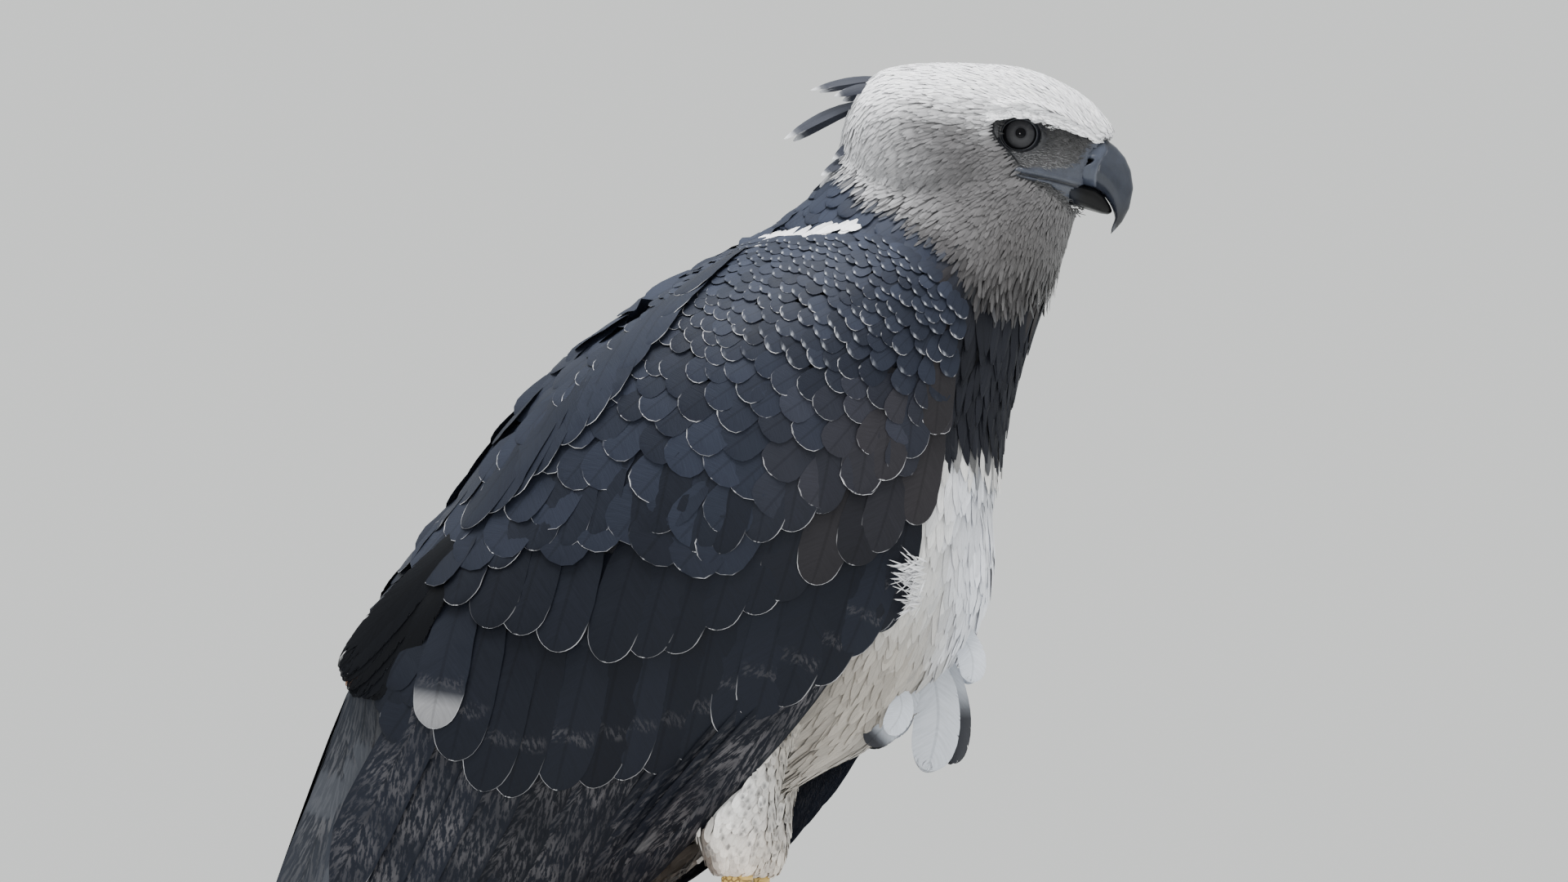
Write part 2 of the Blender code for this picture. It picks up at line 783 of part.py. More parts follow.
def wing_finder():
    """A function that finds a place of the near wing, in the photograph, on either wing."""
    rows, angles = np.linspace(0.6, 13.9, 200), np.arange(-170, -2, 1.0)
    t, a = (grid.ravel() for grid in np.meshgrid(rows, angles, indexing="ij"))
    x, y, z = body(t, a).T
    seen_x, seen_z = x + 0.087 * y, z - 0.07 * y

    def find(px, py, sign):
        u, v = side(px, py)
        best = int(np.argmin((seen_x - u) ** 2 + (seen_z - v) ** 2))
        row, angle = t[best], -a[best]
        if sign > 0:
            back, front = wing_edges(row, -1)
            other_back, other_front = wing_edges(row, 1)
            angle = other_back + (angle - back) * (other_front - other_back) / (front - back)
        return Vector(body(row, sign * angle))

    return find


def along_line(line, f):
    """A point at a share f of the way along a line of points."""
    line = np.asarray(line, float)
    steps = np.concatenate([[0], np.cumsum(np.linalg.norm(np.diff(line, axis=0), axis=1))])
    return [float(np.interp(f * steps[-1], steps, line[:, k])) for k in (0, 1)]


VANE_SHARES = (0.0, 0.5, 0.86, 1.0)
VANE_WIDTHS = (0.7, 1.0, 0.9, 0.5)


def laid_feather(skin, root, tip, width, rises, depths, tilt):
    """A feather laid on the skin: its outer face climbs to the tip, and its under face is sunk."""
    tops, bottoms = [], []
    for k, (f, w) in enumerate(zip(VANE_SHARES, VANE_WIDTHS)):
        centre, normal, _, _ = skin.find_nearest(root.lerp(tip, f))
        along = (tip - root).normalized()
        across = normal.cross(along).normalized()
        for v in (-1, 0, 1):
            reach = along * (width * 0.1 if v == 0 and f == 1 else 0)
            place, out, _, _ = skin.find_nearest(centre + across * (v * width / 2 * w) + reach)
            rise = rises[0] + (rises[1] - rises[0]) * f + tilt * v + (0.5 if v == 0 else 0)
            depth = depths[0] + (depths[1] - depths[0]) * f + (tilt * v if f > 0.6 else 0)
            tops.append(place + out * rise)
            bottoms.append(place + out * min(depth, rise - 1.4))
    return slab("feather", tops, bottoms, len(VANE_SHARES), 3)


# The tiers of a folded wing, lowest first: number of feathers, line of roots, line of tips (in
# the photograph), widths at the row's ends, heights of the outer face at root and tip, and
# heights of the sunk under face.
WING_TIERS = (
    (
        11,
        ((560, 790), (640, 860), (760, 880), (880, 850), (960, 810), (1048, 752)),
        ((388, 1125), (430, 1175), (490, 1218), (550, 1238), (606, 1238), (665, 1190), (748, 1108)),
        (36, 30),
        (-5.6, -3.4),
        (-10, -6.0),
    ),
    (
        13,
        ((562, 735), (640, 800), (745, 800), (850, 775), (950, 748), (1060, 700), (1112, 640)),
        ((531, 890), (594, 965), (712, 964), (809, 940), (897, 895), (997, 832), (1068, 770)),
        (31, 25),
        (-4.4, -1.8),
        (-9, -8),
    ),
    (
        12,
        ((600, 620), (670, 660), (750, 690), (850, 690), (950, 640), (1060, 600), (1140, 540)),
        ((562, 738), (618, 765), (700, 797), (799, 805), (905, 751), (1012, 707), (1112, 640)),
        (29, 24),
        (-3.2, -0.5),
        (-9, -8),
    ),
    (
        12,
        ((648, 590), (740, 545), (830, 550), (920, 570), (990, 545), (1070, 510), (1150, 440)),
        ((612, 695), (700, 655), (800, 655), (890, 680), (955, 650), (1045, 610), (1140, 535)),
        (26, 21),
        (-2.0, 0.9),
        (-8, -7),
    ),
    (
        5,
        ((650, 545), (622, 575), (600, 610), (585, 660)),
        ((420, 806), (438, 838), (476, 852), (520, 878)),
        (34, 30),
        (-3.4, -0.6),
        (-9, -3.4),
    ),
    (
        8,
        ((655, 520), (680, 490), (715, 452), (755, 415), (800, 376), (850, 345), (900, 314)),
        ((568, 648), (612, 620), (652, 583), (702, 538), (744, 488), (787, 430), (835, 366)),
        (32, 24),
        (-1.4, 2.0),
        (-7, -6),
    ),
)


def wing(name, sign, seed, skin, find):
    """A folded wing: the shell with its tiers of feathers fused on."""
    shell = wing_shell(name, sign)
    draw = random.Random(seed)
    feathers = []
    for count, roots, tips, widths, rises, depths in WING_TIERS:
        for k in range(count):
            f = k / (count - 1)
            jitter = draw.uniform(-0.25, 0.25) / (count - 1) if 0 < k < count - 1 else 0
            root = find(*along_line(roots, f + jitter), sign)
            tip = find(*along_line(tips, f + jitter), sign)
            tip = root.lerp(tip, draw.uniform(0.965, 1.03))
            width = (widths[0] + (widths[1] - widths[0]) * f) * draw.uniform(0.93, 1.07)
            lift = draw.uniform(-0.2, 0.2)
            heights = (rises[0] + lift, rises[1] + lift)
            tilt = -sign * draw.uniform(0.6, 0.95)
            feathers.append(laid_feather(skin, root, tip, width, heights, depths, tilt))
    fuse(shell, feathers)
    thin_out(shell, 2600)
    return shell


# Tail


TAIL_LINE = ((-150, 424), (-163, 402), (-181, 376), (-196, 338), (-223, 262), (-250, 182), (-290, 50))
TAIL_HALF = 47  # half the folded tail's width


def tail_point(f, v, depth):
    """A point of the tail's arched upper face, at share f of its length, sunk by depth."""
    x, z = along_line(TAIL_LINE, f)
    ahead = along_line(TAIL_LINE, min(1, f + 0.02))
    behind = along_line(TAIL_LINE, max(0, f - 0.02))
    down = Vector((ahead[0] - behind[0], 0, ahead[1] - behind[1])).normalized()
    inward = Vector((-down.z, 0, down.x))
    return Vector((x, TAIL_HALF * v, z)) + inward * (27 * v * v + depth)


def tail_block(last, thick, name="tail", spare=0.0):
    """The tail's outer shape down to a share of its length, as one plain block."""
    rings, out = [], 1 + spare / TAIL_HALF
    for k in range(13):
        f = last * k / 12
        upper = [tail_point(f, out * (-1 + 2 * j / 8), -spare) for j in range(9)]
        under = [tail_point(f, out * (-1 + 2 * j / 8), thick + spare) for j in range(8, -1, -1)]
        rings.append(upper + under)
    return loft(name, rings, None, None, "slate")


def tail():
    """Twelve folded tail feathers, the middle pair on top, fused at their edges."""
    core = tail_block(0.24, 9.5)
    draw = random.Random(12)
    feathers = []
    for k in range(6):
        for sign in (1, -1):
            middle = sign * (0.05 + 0.092 * k)
            half = 0.48 + draw.uniform(-0.01, 0.01)
            length = (1.0, 0.99, 0.985, 0.975, 0.965, 0.945)[k] + draw.uniform(-0.006, 0.004)
            sink = 0.3 + 1.15 * k + (0.5 if sign < 0 else 0) + draw.uniform(-0.05, 0.05)
            tops, bottoms = [], []
            for f, w in zip((0.12, 0.4, 0.68, 0.9, 0.97, 1.0), (0.8, 0.9, 1.0, 0.98, 0.74, 0.3)):
                for v in (-1, 0, 1):
                    end = 0.012 if v == 0 and f == 1 else 0
                    at = middle + half * w * v
                    tops.append(tail_point(length * f + end, at, sink - (0.3 if v == 0 else 0)))
                    bottoms.append(tail_point(length * f + end, at, sink + 1.7 - 0.5 * f))
            feathers.append(slab("rectrix", tops, bottoms, 6, 3))
    fuse(core, feathers)
    thin_out(core, 1150)
    return core


# Legs and feet


def thigh(name, sign):
    rows = (
        (44, 372, 34, 26),
        (40, 345, 32, 27),
        (37, 320, 28, 26),
        (36, 300, 24.5, 24),
        (37, 283, 22, 21),
        (38, 270, 18, 17),
        (38, 262, 13, 12.5),
    )
    rings = []
    for x, z, rx, ry in rows:
        ring = []
        for j in range(16):
            a = 2 * math.pi * j / 16
            ring.append((x + rx * math.cos(a), sign * FOOT_Y + ry * math.sin(a), z))
        rings.append(ring)
    return loft(name, rings, None, None, "white")


# Each toe: how far it splays in Y at its end, and the angles round the perch where it
# starts, where its claw starts and where the claw ends, from +X upwards, in degrees.
TOES = (
    (3, 98, 172, 262),
    (-25, 78, 8, -72),
    (0, 76, -8, -84),
    (25, 78, 4, -76),
)


def perch_point(radius, angle, y):
    a = math.radians(angle)
    return (PERCH_X + radius * math.cos(a), y, PERCH_Z + radius * math.sin(a))


def foot_and_claws(side_name, sign):
    y = sign * FOOT_Y
    knee = 261.5
    shank = tube(
        f"foot_{side_name}",
        [(38, y, knee), (38.5, y, 250), (39, y, 238), (40, y, 227)],
        (9.0, 9.0, 10.5, 12.5),
        12,
        1.0,
    )
    toes, claws = [], []
    for number, (splay, start, claw_start, claw_end) in enumerate(TOES, 1):
        path, radii = [], []
        thick = 8.6 if number != 2 else 8.0
        for k in range(7):
            f = k / 6
            angle = start + (claw_start - start) * f
            lift = 7.6 + 1.6 * math.sin(math.pi * f) - 0.6 * f
            spread = y - sign * splay * math.sin(f * math.pi / 2)
            path.append(perch_point(PERCH_RADIUS + lift, angle, spread))
            radii.append(thick * (1.08 - 0.22 * f + (0.09 if k % 2 else -0.03)))
        root = (40, y - sign * splay * 0.05, PERCH_Z + PERCH_RADIUS + 9)
        toes.append(tube("toe", [root, *path[1:]], radii, 8, 0.95))
        end = Vector(path[-1])
        before = (end - Vector(path[-2])).normalized()
        claw_path, claw_radii = [end + before * GAP], [radii[-1] * 0.8]
        base = PERCH_RADIUS + 7.0
        for k in range(1, 7):
            f = k / 6
            angle = claw_start + (claw_end - claw_start) * f
            swell = 5.5 * math.sin(math.pi * min(1, f * 1.15))
            radius = base - (base - PERCH_RADIUS - 1.6) * f + swell
            claw_path.append(Vector(perch_point(radius, angle, path[-1][1])))
            claw_radii.append(radii[-1] * 0.8 * (1 - f) ** 0.75 + 0.7)
        claw = tube(
            f"claw_{side_name}_{number}", claw_path, claw_radii, 8, 1.0, "bill", 0.3, pointed=True
        )
        claws.append(claw)
    fuse(shank, toes)
    return shank, claws


# Perch and stand


def perch():
    rings = []
    draw = random.Random(5)
    bumps = [(draw.uniform(0, 6.28), draw.uniform(0.2, 0.9)) for _ in range(7)]
    for i in range(9):
        y = -PERCH_LENGTH / 2 + PERCH_LENGTH * i / 8
        ring = []
        for j in range(20):
            a = 2 * math.pi * j / 20
            wave = 0
            for n, (phase, size) in enumerate(bumps):
                wave += size * math.cos((n + 2) * a + phase + y / 60)
            radius = PERCH_RADIUS - 0.8 + 0.5 * wave * (0.6 if i in (0, 8) else 1)
            ring.append((PERCH_X + radius * math.cos(a), y, PERCH_Z + radius * math.sin(a)))
        rings.append(ring)
    return loft("perch", rings, None, None, "wood", 0.85)


def stand():
    sx, sy, sz = STAND_SIZE
    base = block("stand_base", (-sx / 2, -sy / 2, 0), (sx / 2, sy / 2, sz), "stand", 0.45)
    bevel = base.modifiers.new("soft edges", "BEVEL")
    bevel.width = 3 * MM
    bevel.segments = 2
    rods = []
    for name, sign in (("stand_rod_left", 1), ("stand_rod_right", -1)):
        y = sign * ROD_SPREAD
        path = [(PERCH_X, y, sz + GAP), (PERCH_X, y, PERCH_Z - PERCH_RADIUS + 12)]
        rods.append(tube(name, path, (ROD_RADIUS, ROD_RADIUS), 16, 1.0, "stand", 0.35))
    return base, rods


def build():
    remove(bpy.data.objects)
    branch = perch()
    base, rods = stand()
    for rod in rods:
        fit_to(rod, branch)

    neck, torso = neck_and_torso()
    skull = head()
    fuse(skull, [brow(1), brow(-1)])
    thin_out(skull, 1250)
    upper, lower = upper_bill(), lower_bill()
    fit_to(lower, upper)
    fit_to(skull, upper)
    fit_to(skull, lower)
    balls = eyes()
    fuse(skull, [lid(1), lid(-1)])
    thin_out(skull, 1900)
    for eye in balls:
        fit_to(skull, eye)
    for sign in (1, -1):
        carve(skull, mouth_groove(skull, sign))
    tuft = crest()
    fit_to(tuft, skull, 0.05)

    x0, z0, x1, z1, _ = BODY_ROWS[0]
    across = (z0 - z1, 0, x1 - x0)
    rise = Vector(across).normalized() * GAP
    cut_plane(skull, Vector((x0, 0, z0)) + rise, across)
    for obj in (skull, neck, upper, lower, tuft, *balls):
        turn_head(obj)

    skin, find = outer_skin(), wing_finder()
    for name, sign, seed in (("wing_left", 1, 3), ("wing_right", -1, 4)):
        obj = wing(name, sign, seed, skin, find)
        carve(obj, tail_block(1.0, 10.0, "tail room", 1.8))
        edges = sorted((sign * GAP / 2, -sign * 80))
        carve(obj, block("other side", (-300, edges[0], 250), (-90, edges[1], 500)))
        for neighbour in (neck, torso):
            fit_to(obj, neighbour)
    plume = tail()
    fit_to(plume, torso)
    for side_name, sign in (("left", 1), ("right", -1)):
        leg = thigh(f"thigh_{side_name}", sign)
        fit_to(leg, torso, 0.2)
        carve(leg, smooth_room(bpy.data.objects[f"wing_{side_name}"], 2.4), 0.2)
        thin_out(leg, 340)
        foot, claws = foot_and_claws(side_name, sign)
        fit_to(foot, branch)
        fit_to(foot, leg)
        for claw in claws:
            fit_to(claw, branch)
            fit_to(claw, foot)


build()
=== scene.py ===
# %% [markdown]
# # A harpy eagle, life size
#
# A harpy eagle is a huge forest eagle with a pale head, a black band across its breast, a white
# belly and slate wings. This lesson dresses its imported solids. The solids say where everything
# is, so the frame is loaded first.

import json
import math

import bmesh
import bpy
import numpy as np
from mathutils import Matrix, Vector
from mathutils.bvhtree import BVHTree
from mathutils.kdtree import KDTree

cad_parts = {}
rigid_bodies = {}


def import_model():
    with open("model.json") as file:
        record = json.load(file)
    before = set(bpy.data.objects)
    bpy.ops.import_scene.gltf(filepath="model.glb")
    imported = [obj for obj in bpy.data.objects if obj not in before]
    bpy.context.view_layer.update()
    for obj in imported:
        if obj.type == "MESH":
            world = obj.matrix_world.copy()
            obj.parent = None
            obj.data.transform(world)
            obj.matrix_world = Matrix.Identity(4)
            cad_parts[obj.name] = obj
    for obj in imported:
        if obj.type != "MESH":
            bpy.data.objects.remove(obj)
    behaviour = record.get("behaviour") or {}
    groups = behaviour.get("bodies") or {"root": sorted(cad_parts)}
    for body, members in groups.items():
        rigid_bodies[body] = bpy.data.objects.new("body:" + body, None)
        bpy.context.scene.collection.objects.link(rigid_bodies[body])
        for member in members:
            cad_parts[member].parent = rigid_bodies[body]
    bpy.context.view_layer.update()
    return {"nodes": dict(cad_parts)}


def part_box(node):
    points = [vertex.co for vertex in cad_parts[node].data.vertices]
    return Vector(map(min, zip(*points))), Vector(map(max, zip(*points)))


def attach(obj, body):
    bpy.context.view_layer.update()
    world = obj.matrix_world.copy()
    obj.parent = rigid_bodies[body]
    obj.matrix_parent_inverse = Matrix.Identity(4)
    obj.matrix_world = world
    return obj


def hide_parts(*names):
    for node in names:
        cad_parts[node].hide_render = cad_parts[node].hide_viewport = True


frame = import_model()

# %% [markdown]
# ## Sizes
#
# The bird's right side faces the camera. One pixel of the photograph is 0.46 mm on the bird's
# middle plane, so a place in the photograph turns into millimetres with two sums. Shapes are
# worked out in millimetres, and meshes are stored in metres.

# %% Places in the photograph
MM = 0.001
PHOTO_MM = 0.46
PHOTO_MIDDLE = 830
PHOTO_FLOOR = 755
# The camera stands a little in front of the bird's side and below it: this is how far a place
# shifts in the picture for each millimetre that it lies off the middle plane.
SLANT_X, SLANT_Z = 0.087, 0.07
SIDES = (("left", 1), ("right", -1))


def xyz(x, y, z):
    """Points from their coordinates, each an array or one number for all points."""
    return np.stack(np.broadcast_arrays(x, y, z), -1)


def side(px, py):
    """A place in the photograph as x and z, in millimetres, on the middle plane."""
    return (px - PHOTO_MIDDLE) * PHOTO_MM, PHOTO_FLOOR - PHOTO_MM * py


def seen(points):
    """The column and row of points, as if all lay on the middle plane."""
    return points[:, 0] / PHOTO_MM + PHOTO_MIDDLE, (PHOTO_FLOOR - points[:, 2]) / PHOTO_MM


print("the photograph's middle lies at", side(960, 540), "mm")

# %% [markdown]
# ## Camera, floor and light
#
# The photograph looks at the bird from its right side, a little from below. A long lens keeps
# the lines nearly parallel. The floor is plain and pale, and large soft lamps stand in for an
# overcast sky, which is what gives feathers their quiet sheen.

# %% Camera
AZIMUTH, ELEVATION, DISTANCE = math.radians(5), math.radians(-4), 4.0
TARGET = Vector((0.0598, 0, 0.5066))
PHOTO_WIDTH, SENSOR = 1920, 36  # in pixels and in millimetres
back = Vector((math.sin(AZIMUTH) * math.cos(ELEVATION), -math.cos(AZIMUTH) * math.cos(ELEVATION),
               math.sin(ELEVATION)))
camera = bpy.data.objects.new("camera", bpy.data.cameras.new("camera"))
bpy.context.scene.collection.objects.link(camera)
camera.location = TARGET + back * DISTANCE
camera.rotation_mode = "QUATERNION"
camera.rotation_quaternion = (-back).to_track_quat("-Z", "Y")
camera.data.sensor_width = SENSOR
camera.data.lens = SENSOR * DISTANCE / (PHOTO_WIDTH * PHOTO_MM * MM)
bpy.context.scene.camera = camera
print("lens", round(camera.data.lens, 1), "mm, camera height", round(camera.location.z, 3), "m")

# %% Floor and lamps
def deselect():
    bpy.ops.object.select_all(action="DESELECT")


def only(obj):
    """Makes one object the only selected and the active one."""
    deselect()
    obj.select_set(True)
    bpy.context.view_layer.objects.active = obj


deselect()
bpy.ops.mesh.primitive_plane_add(size=30)
floor = bpy.context.object
floor.name = "floor"

LAMPS = (
    ("key", (0.1, -0.8, 4.4), 2.2, 400, (1.0, 0.99, 0.97)),
    ("sky", (-1.2, 0.5, 4.0), 3.0, 110, (0.86, 0.93, 1.0)),
    ("front", (3.2, -1.0, 1.6), 2.0, 8, (1.0, 0.99, 0.97)),
    ("spark", (0.62, -3.5, 0.80), 0.4, 24, (1.0, 1.0, 1.0)),
)
for name, place, size, power, tint in LAMPS:
    lamp = bpy.data.objects.new(name, bpy.data.lights.new(name, "AREA"))
    bpy.context.scene.collection.objects.link(lamp)
    lamp.location = place
    lamp.rotation_mode = "QUATERNION"
    lamp.rotation_quaternion = (TARGET - lamp.location).to_track_quat("-Z", "Y")
    lamp.data.size = size
    lamp.data.energy = power
    lamp.data.color = tint
world = bpy.data.worlds.new("pale sky")
bpy.context.scene.world = world
world.use_nodes = True
world.node_tree.nodes["Background"].inputs["Color"].default_value = (0.735, 0.75, 0.74, 1)
world.node_tree.nodes["Background"].inputs["Strength"].default_value = 1.28
print("lamps:", [name for name, *_ in LAMPS])

# %% [markdown]
# ## The shape under the feathers
#
# With its wings folded, a bird of prey is one smooth teardrop. It is described by rows of
# ellipses down the body, from the top of the neck to the wing tips, and a smooth curve runs
# through them. Feathers are laid on this surface, which is why it is a formula and not a mesh.

# %% The body's rows
# Back line x and z, front line x and z, and half the width, in millimetres.
BODY_ROWS = (
    (88, 661, 220, 617, 48), (71, 640, 212, 594, 59), (44, 622, 200, 569, 80),
    (9, 603, 190, 539, 95), (-32, 578, 182, 504, 106), (-71, 546, 178, 461, 112),
    (-101, 511, 174, 415, 114), (-125, 475, 150, 369, 112), (-150, 443, 105, 329, 106),
    (-175, 409, 60, 294, 98), (-190, 374, 15, 264, 90), (-203, 329, -30, 229, 80),
    (-214, 289, -65, 199, 70), (-225, 249, -90, 175, 60), (-236, 209, -105, 150, 52),
)
TURN = math.radians(5)


def between(rows, t):
    """The values at t along a table's rows, on a smooth curve through them."""
    rows = np.asarray(rows, float)
    t = np.clip(t, 0, len(rows) - 1)
    i = np.clip(np.floor(t).astype(int), 0, len(rows) - 2)
    f = (t - i)[..., None]
    a, b, c, d = (rows[np.clip(i + k, 0, len(rows) - 1)] for k in (-1, 0, 1, 2))
    return b + 0.5 * f * (c - a + f * (2 * a - 5 * b + 4 * c - d + f * (3 * (b - c) + d - a)))


def ease(low, high, value):
    """0 below low, 1 above high, and a soft step between them."""
    f = np.clip((np.asarray(value, float) - low) / (high - low), 0, 1)
    return f * f * (3 - 2 * f)


def bell(value, width):
    """1 where the value is 0, and less and less on both sides, over about two widths."""
    return np.exp(-((value / width) ** 2))


def round_angles(count):
    """Angles once round, in radians."""
    return np.linspace(0, 2 * math.pi, count, endpoint=False)


def ellipse_point(row, angle):
    """A point of a row's ellipse. The angle is 0 on the back, 180 in front, and left is positive."""
    a = np.radians(angle)
    x = (row[..., 0] + row[..., 2]) / 2 - (row[..., 2] - row[..., 0]) / 2 * np.cos(a)
    z = (row[..., 1] + row[..., 3]) / 2 - (row[..., 3] - row[..., 1]) / 2 * np.cos(a)
    return xyz(x, row[..., 4] * np.sin(a), z)


def body(t, angle, rise=0.0):
    """Points of the outer shape at row t and an angle round it, raised along its normals."""
    t, angle, rise = np.broadcast_arrays(np.asarray(t, float), angle, rise)
    middle = ellipse_point(between(BODY_ROWS, t), angle)
    down = ellipse_point(between(BODY_ROWS, np.clip(t + 0.03, 0, 14)), angle)
    down = down - ellipse_point(between(BODY_ROWS, np.clip(t - 0.03, 0, 14)), angle)
    around = ellipse_point(between(BODY_ROWS, t), angle + 0.5)
    around = around - ellipse_point(between(BODY_ROWS, t), angle - 0.5)
    normal = np.cross(around, down)
    normal /= np.linalg.norm(normal, axis=-1, keepdims=True)
    return middle + normal * rise[..., None]


def grid_tree(points):
    """A surface through a grid of points, closed along its second direction, to be searched."""
    rows, count, _ = points.shape
    faces = []
    for i in range(rows - 1):
        for j in range(count):
            k = (j + 1) % count
            faces.append((i * count + j, i * count + k, (i + 1) * count + k, (i + 1) * count + j))
    return BVHTree.FromPolygons([Vector(p) for p in points.reshape(-1, 3)], faces)


T_GRID, A_GRID = np.meshgrid(np.linspace(0, 14, 141), np.arange(-180, 180, 3.0), indexing="ij")
OUTER = grid_tree(body(T_GRID, A_GRID))
GRID_POINTS = body(T_GRID, A_GRID).reshape(-1, 3)
where = KDTree(len(GRID_POINTS))
for index, point in enumerate(GRID_POINTS):
    where.insert(point, index)
where.balance()


def body_place(points):
    """The row and the angle of the body's surface nearest to each point."""
    found = [where.find(point)[1] for point in points]
    return T_GRID.ravel()[found], A_GRID.ravel()[found]


print("body surface:", GRID_POINTS.shape[0], "points")

# %% [markdown]
# ## Where the folded wings lie
#
# Each wing covers the side of the body between two angles. A helper finds the place of the wing
# that the photograph shows at a pixel, and its mirror image on the other wing.

# %% Wing edges
# Row, angle of the back edge, angle of the front edge on the right wing and on the left.
WING_EDGES = np.array((
    (0.0, 16, 118, 118), (2.0, 12, 130, 130), (3.0, 13, 137, 137), (4.3, 13, 141, 143),
    (5.9, 11, 135, 146), (7.0, 6, 134, 152), (8.0, 4, 136, 160), (9.2, 4, 144, 166),
    (10.2, 34, 150, 168), (12.5, 58, 156, 168), (14.0, 60, 156, 168),
))
WING_TOP = ((0, 2.0), (0.25, 1.45), (0.45, 1.12), (0.62, 1.1), (0.8, 1.35), (1, 2.05))


def wing_edges(t, sign):
    """The angles between which a wing covers the body at row t."""
    back_edge = np.interp(t, WING_EDGES[:, 0], WING_EDGES[:, 1])
    return back_edge, np.interp(t, WING_EDGES[:, 0], WING_EDGES[:, 2 if sign < 0 else 3])


near_t, near_a = np.meshgrid(np.linspace(0.6, 13.9, 200), np.arange(-170, -2, 1.0), indexing="ij")
near_points = body(near_t, near_a).reshape(-1, 3)
NEAR_X = near_points[:, 0] + SLANT_X * near_points[:, 1]
NEAR_Z = near_points[:, 2] - SLANT_Z * near_points[:, 1]


def find(px, py, sign):
    """The place on a wing that shows, or would show on the near wing, at a pixel."""
    u, v = side(px, py)
    best = int(np.argmin((NEAR_X - u) ** 2 + (NEAR_Z - v) ** 2))
    row, angle = near_t.ravel()[best], -near_a.ravel()[best]
    if sign > 0:
        back_edge, front = wing_edges(row, -1)
        other_back, other_front = wing_edges(row, 1)
        angle = other_back + (angle - back_edge) * (other_front - other_back) / (front - back_edge)
    return body(row, sign * angle)


print("the near wing's bend lies at", [round(float(v)) for v in find(1150, 330, -1)], "mm")

# %% [markdown]
# ## Tools for meshes
#
# Thousands of feathers can't be modelled one by one, so they are worked out as arrays and put
# into one mesh for each tract. Each feather is a small closed solid: an arched upper face, a
# flat under face and pointed ends.

# %% Mesh helpers
def mesh_object(name, points, faces, material=None):
    """An object from points in millimetres and a list of arrays of faces."""
    mesh = bpy.data.meshes.new(name)
    mesh.vertices.add(len(points))
    mesh.vertices.foreach_set("co", (np.asarray(points, float) * MM).ravel())
    loops = np.concatenate([np.asarray(f).ravel() for f in faces]).astype(np.int32)
    sizes = np.concatenate([np.full(len(f), np.asarray(f).shape[1]) for f in faces])
    starts = np.concatenate([[0], np.cumsum(sizes)[:-1]]).astype(np.int32)
    mesh.loops.add(len(loops))
    mesh.loops.foreach_set("vertex_index", loops)
    mesh.polygons.add(len(sizes))
    mesh.polygons.foreach_set("loop_start", starts)
    mesh.update(calc_edges=True)
    mesh.validate()
    obj = bpy.data.objects.new(name, mesh)
    bpy.context.scene.collection.objects.link(obj)
    if material:
        mesh.materials.append(material)
    return obj


def put_attribute(obj, name, values):
    """Stores one number or one colour for each point of a mesh."""
    values = np.asarray(values, float)
    if values.ndim == 1:
        layer = obj.data.attributes.new(name, "FLOAT", "POINT")
        layer.data.foreach_set("value", values)
    else:
        layer = obj.data.attributes.new(name, "FLOAT_COLOR", "POINT")
        full = np.concatenate([values, np.ones((len(values), 1))], axis=1)
        layer.data.foreach_set("color", full.ravel())


def put_uv(obj, name, places):
    """Stores a UV map from one place for each point of a mesh."""
    layer = obj.data.uv_layers.new(name=name)
    corners = np.zeros(len(obj.data.loops), np.int32)
    obj.data.loops.foreach_get("vertex_index", corners)
    layer.data.foreach_set("uv", np.asarray(places, float)[corners].ravel())


def smooth(obj):
    only(obj)
    bpy.ops.object.shade_smooth()


def ring_quads(cell):
    """The numbers of the next points round each ring, and the faces between the rings."""
    after = np.roll(cell, -1, axis=1)
    return after, np.stack([cell[:-1], after[:-1], after[1:], cell[1:]], -1).reshape(-1, 4)


def count_triangles(obj):
    obj.data.calc_loop_triangles()
    return len(obj.data.loop_triangles)


def keep(obj, slot, *nodes):
    """Every piece rides on the still body, and may stand for nodes of the frame."""
    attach(obj, "root")
    if nodes:
        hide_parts(*nodes)
    print(f"{obj.name}: {count_triangles(obj)} triangles")
    return obj


print("mesh helpers are ready")

# %% [markdown]
# ## Feathers as arrays
#
# A feather is laid along a path on a surface. Its outline comes from a short table of widths, its
# upper face arches over the shaft, and it climbs from its root to its tip so that it covers the
# next one. Every feather gets a small patch of a second map, OFBake, at its root's place on an
# unwrapping of the body.

# %% Laying feathers
ROUND = ((0, 0.35), (0.1, 0.65), (0.3, 0.9), (0.6, 1.0), (0.75, 0.98), (0.85, 0.88), (0.92, 0.72),
         (0.965, 0.5), (0.99, 0.28), (1, 0.1))
POINTED = ((0, 0.3), (0.15, 0.8), (0.4, 1.0), (0.7, 0.72), (0.9, 0.35), (1, 0.05))
DOWNY = ((0, 0.35), (0.2, 0.85), (0.5, 1.0), (0.8, 0.8), (0.93, 0.5), (1, 0.1))


def unit(vectors):
    return vectors / np.maximum(np.linalg.norm(vectors, axis=-1, keepdims=True), 1e-9)


def paths_on(tree, starts, ends, shares):
    """Points and normals on a surface along the straight lines from starts to ends."""
    places = np.empty((len(starts), len(shares), 3))
    normals = np.empty_like(places)
    for k, f in enumerate(shares):
        for i, point in enumerate(starts + (ends - starts) * f):
            place, normal, _, _ = tree.find_nearest(Vector(point))
            places[i, k] = place
            normals[i, k] = normal
    return places, normals


def row_shares(rows):
    """Where a feather's rows lie along it, from 0 to 1, closer together towards the tip."""
    return 1 - (1 - np.linspace(0, 1, rows)) ** 1.8


def straight_places(starts, ends, shares):
    """Places at shares of the way from starts to ends, for each feather and each share."""
    return starts[:, None] + (ends - starts)[:, None] * shares[None, :, None]


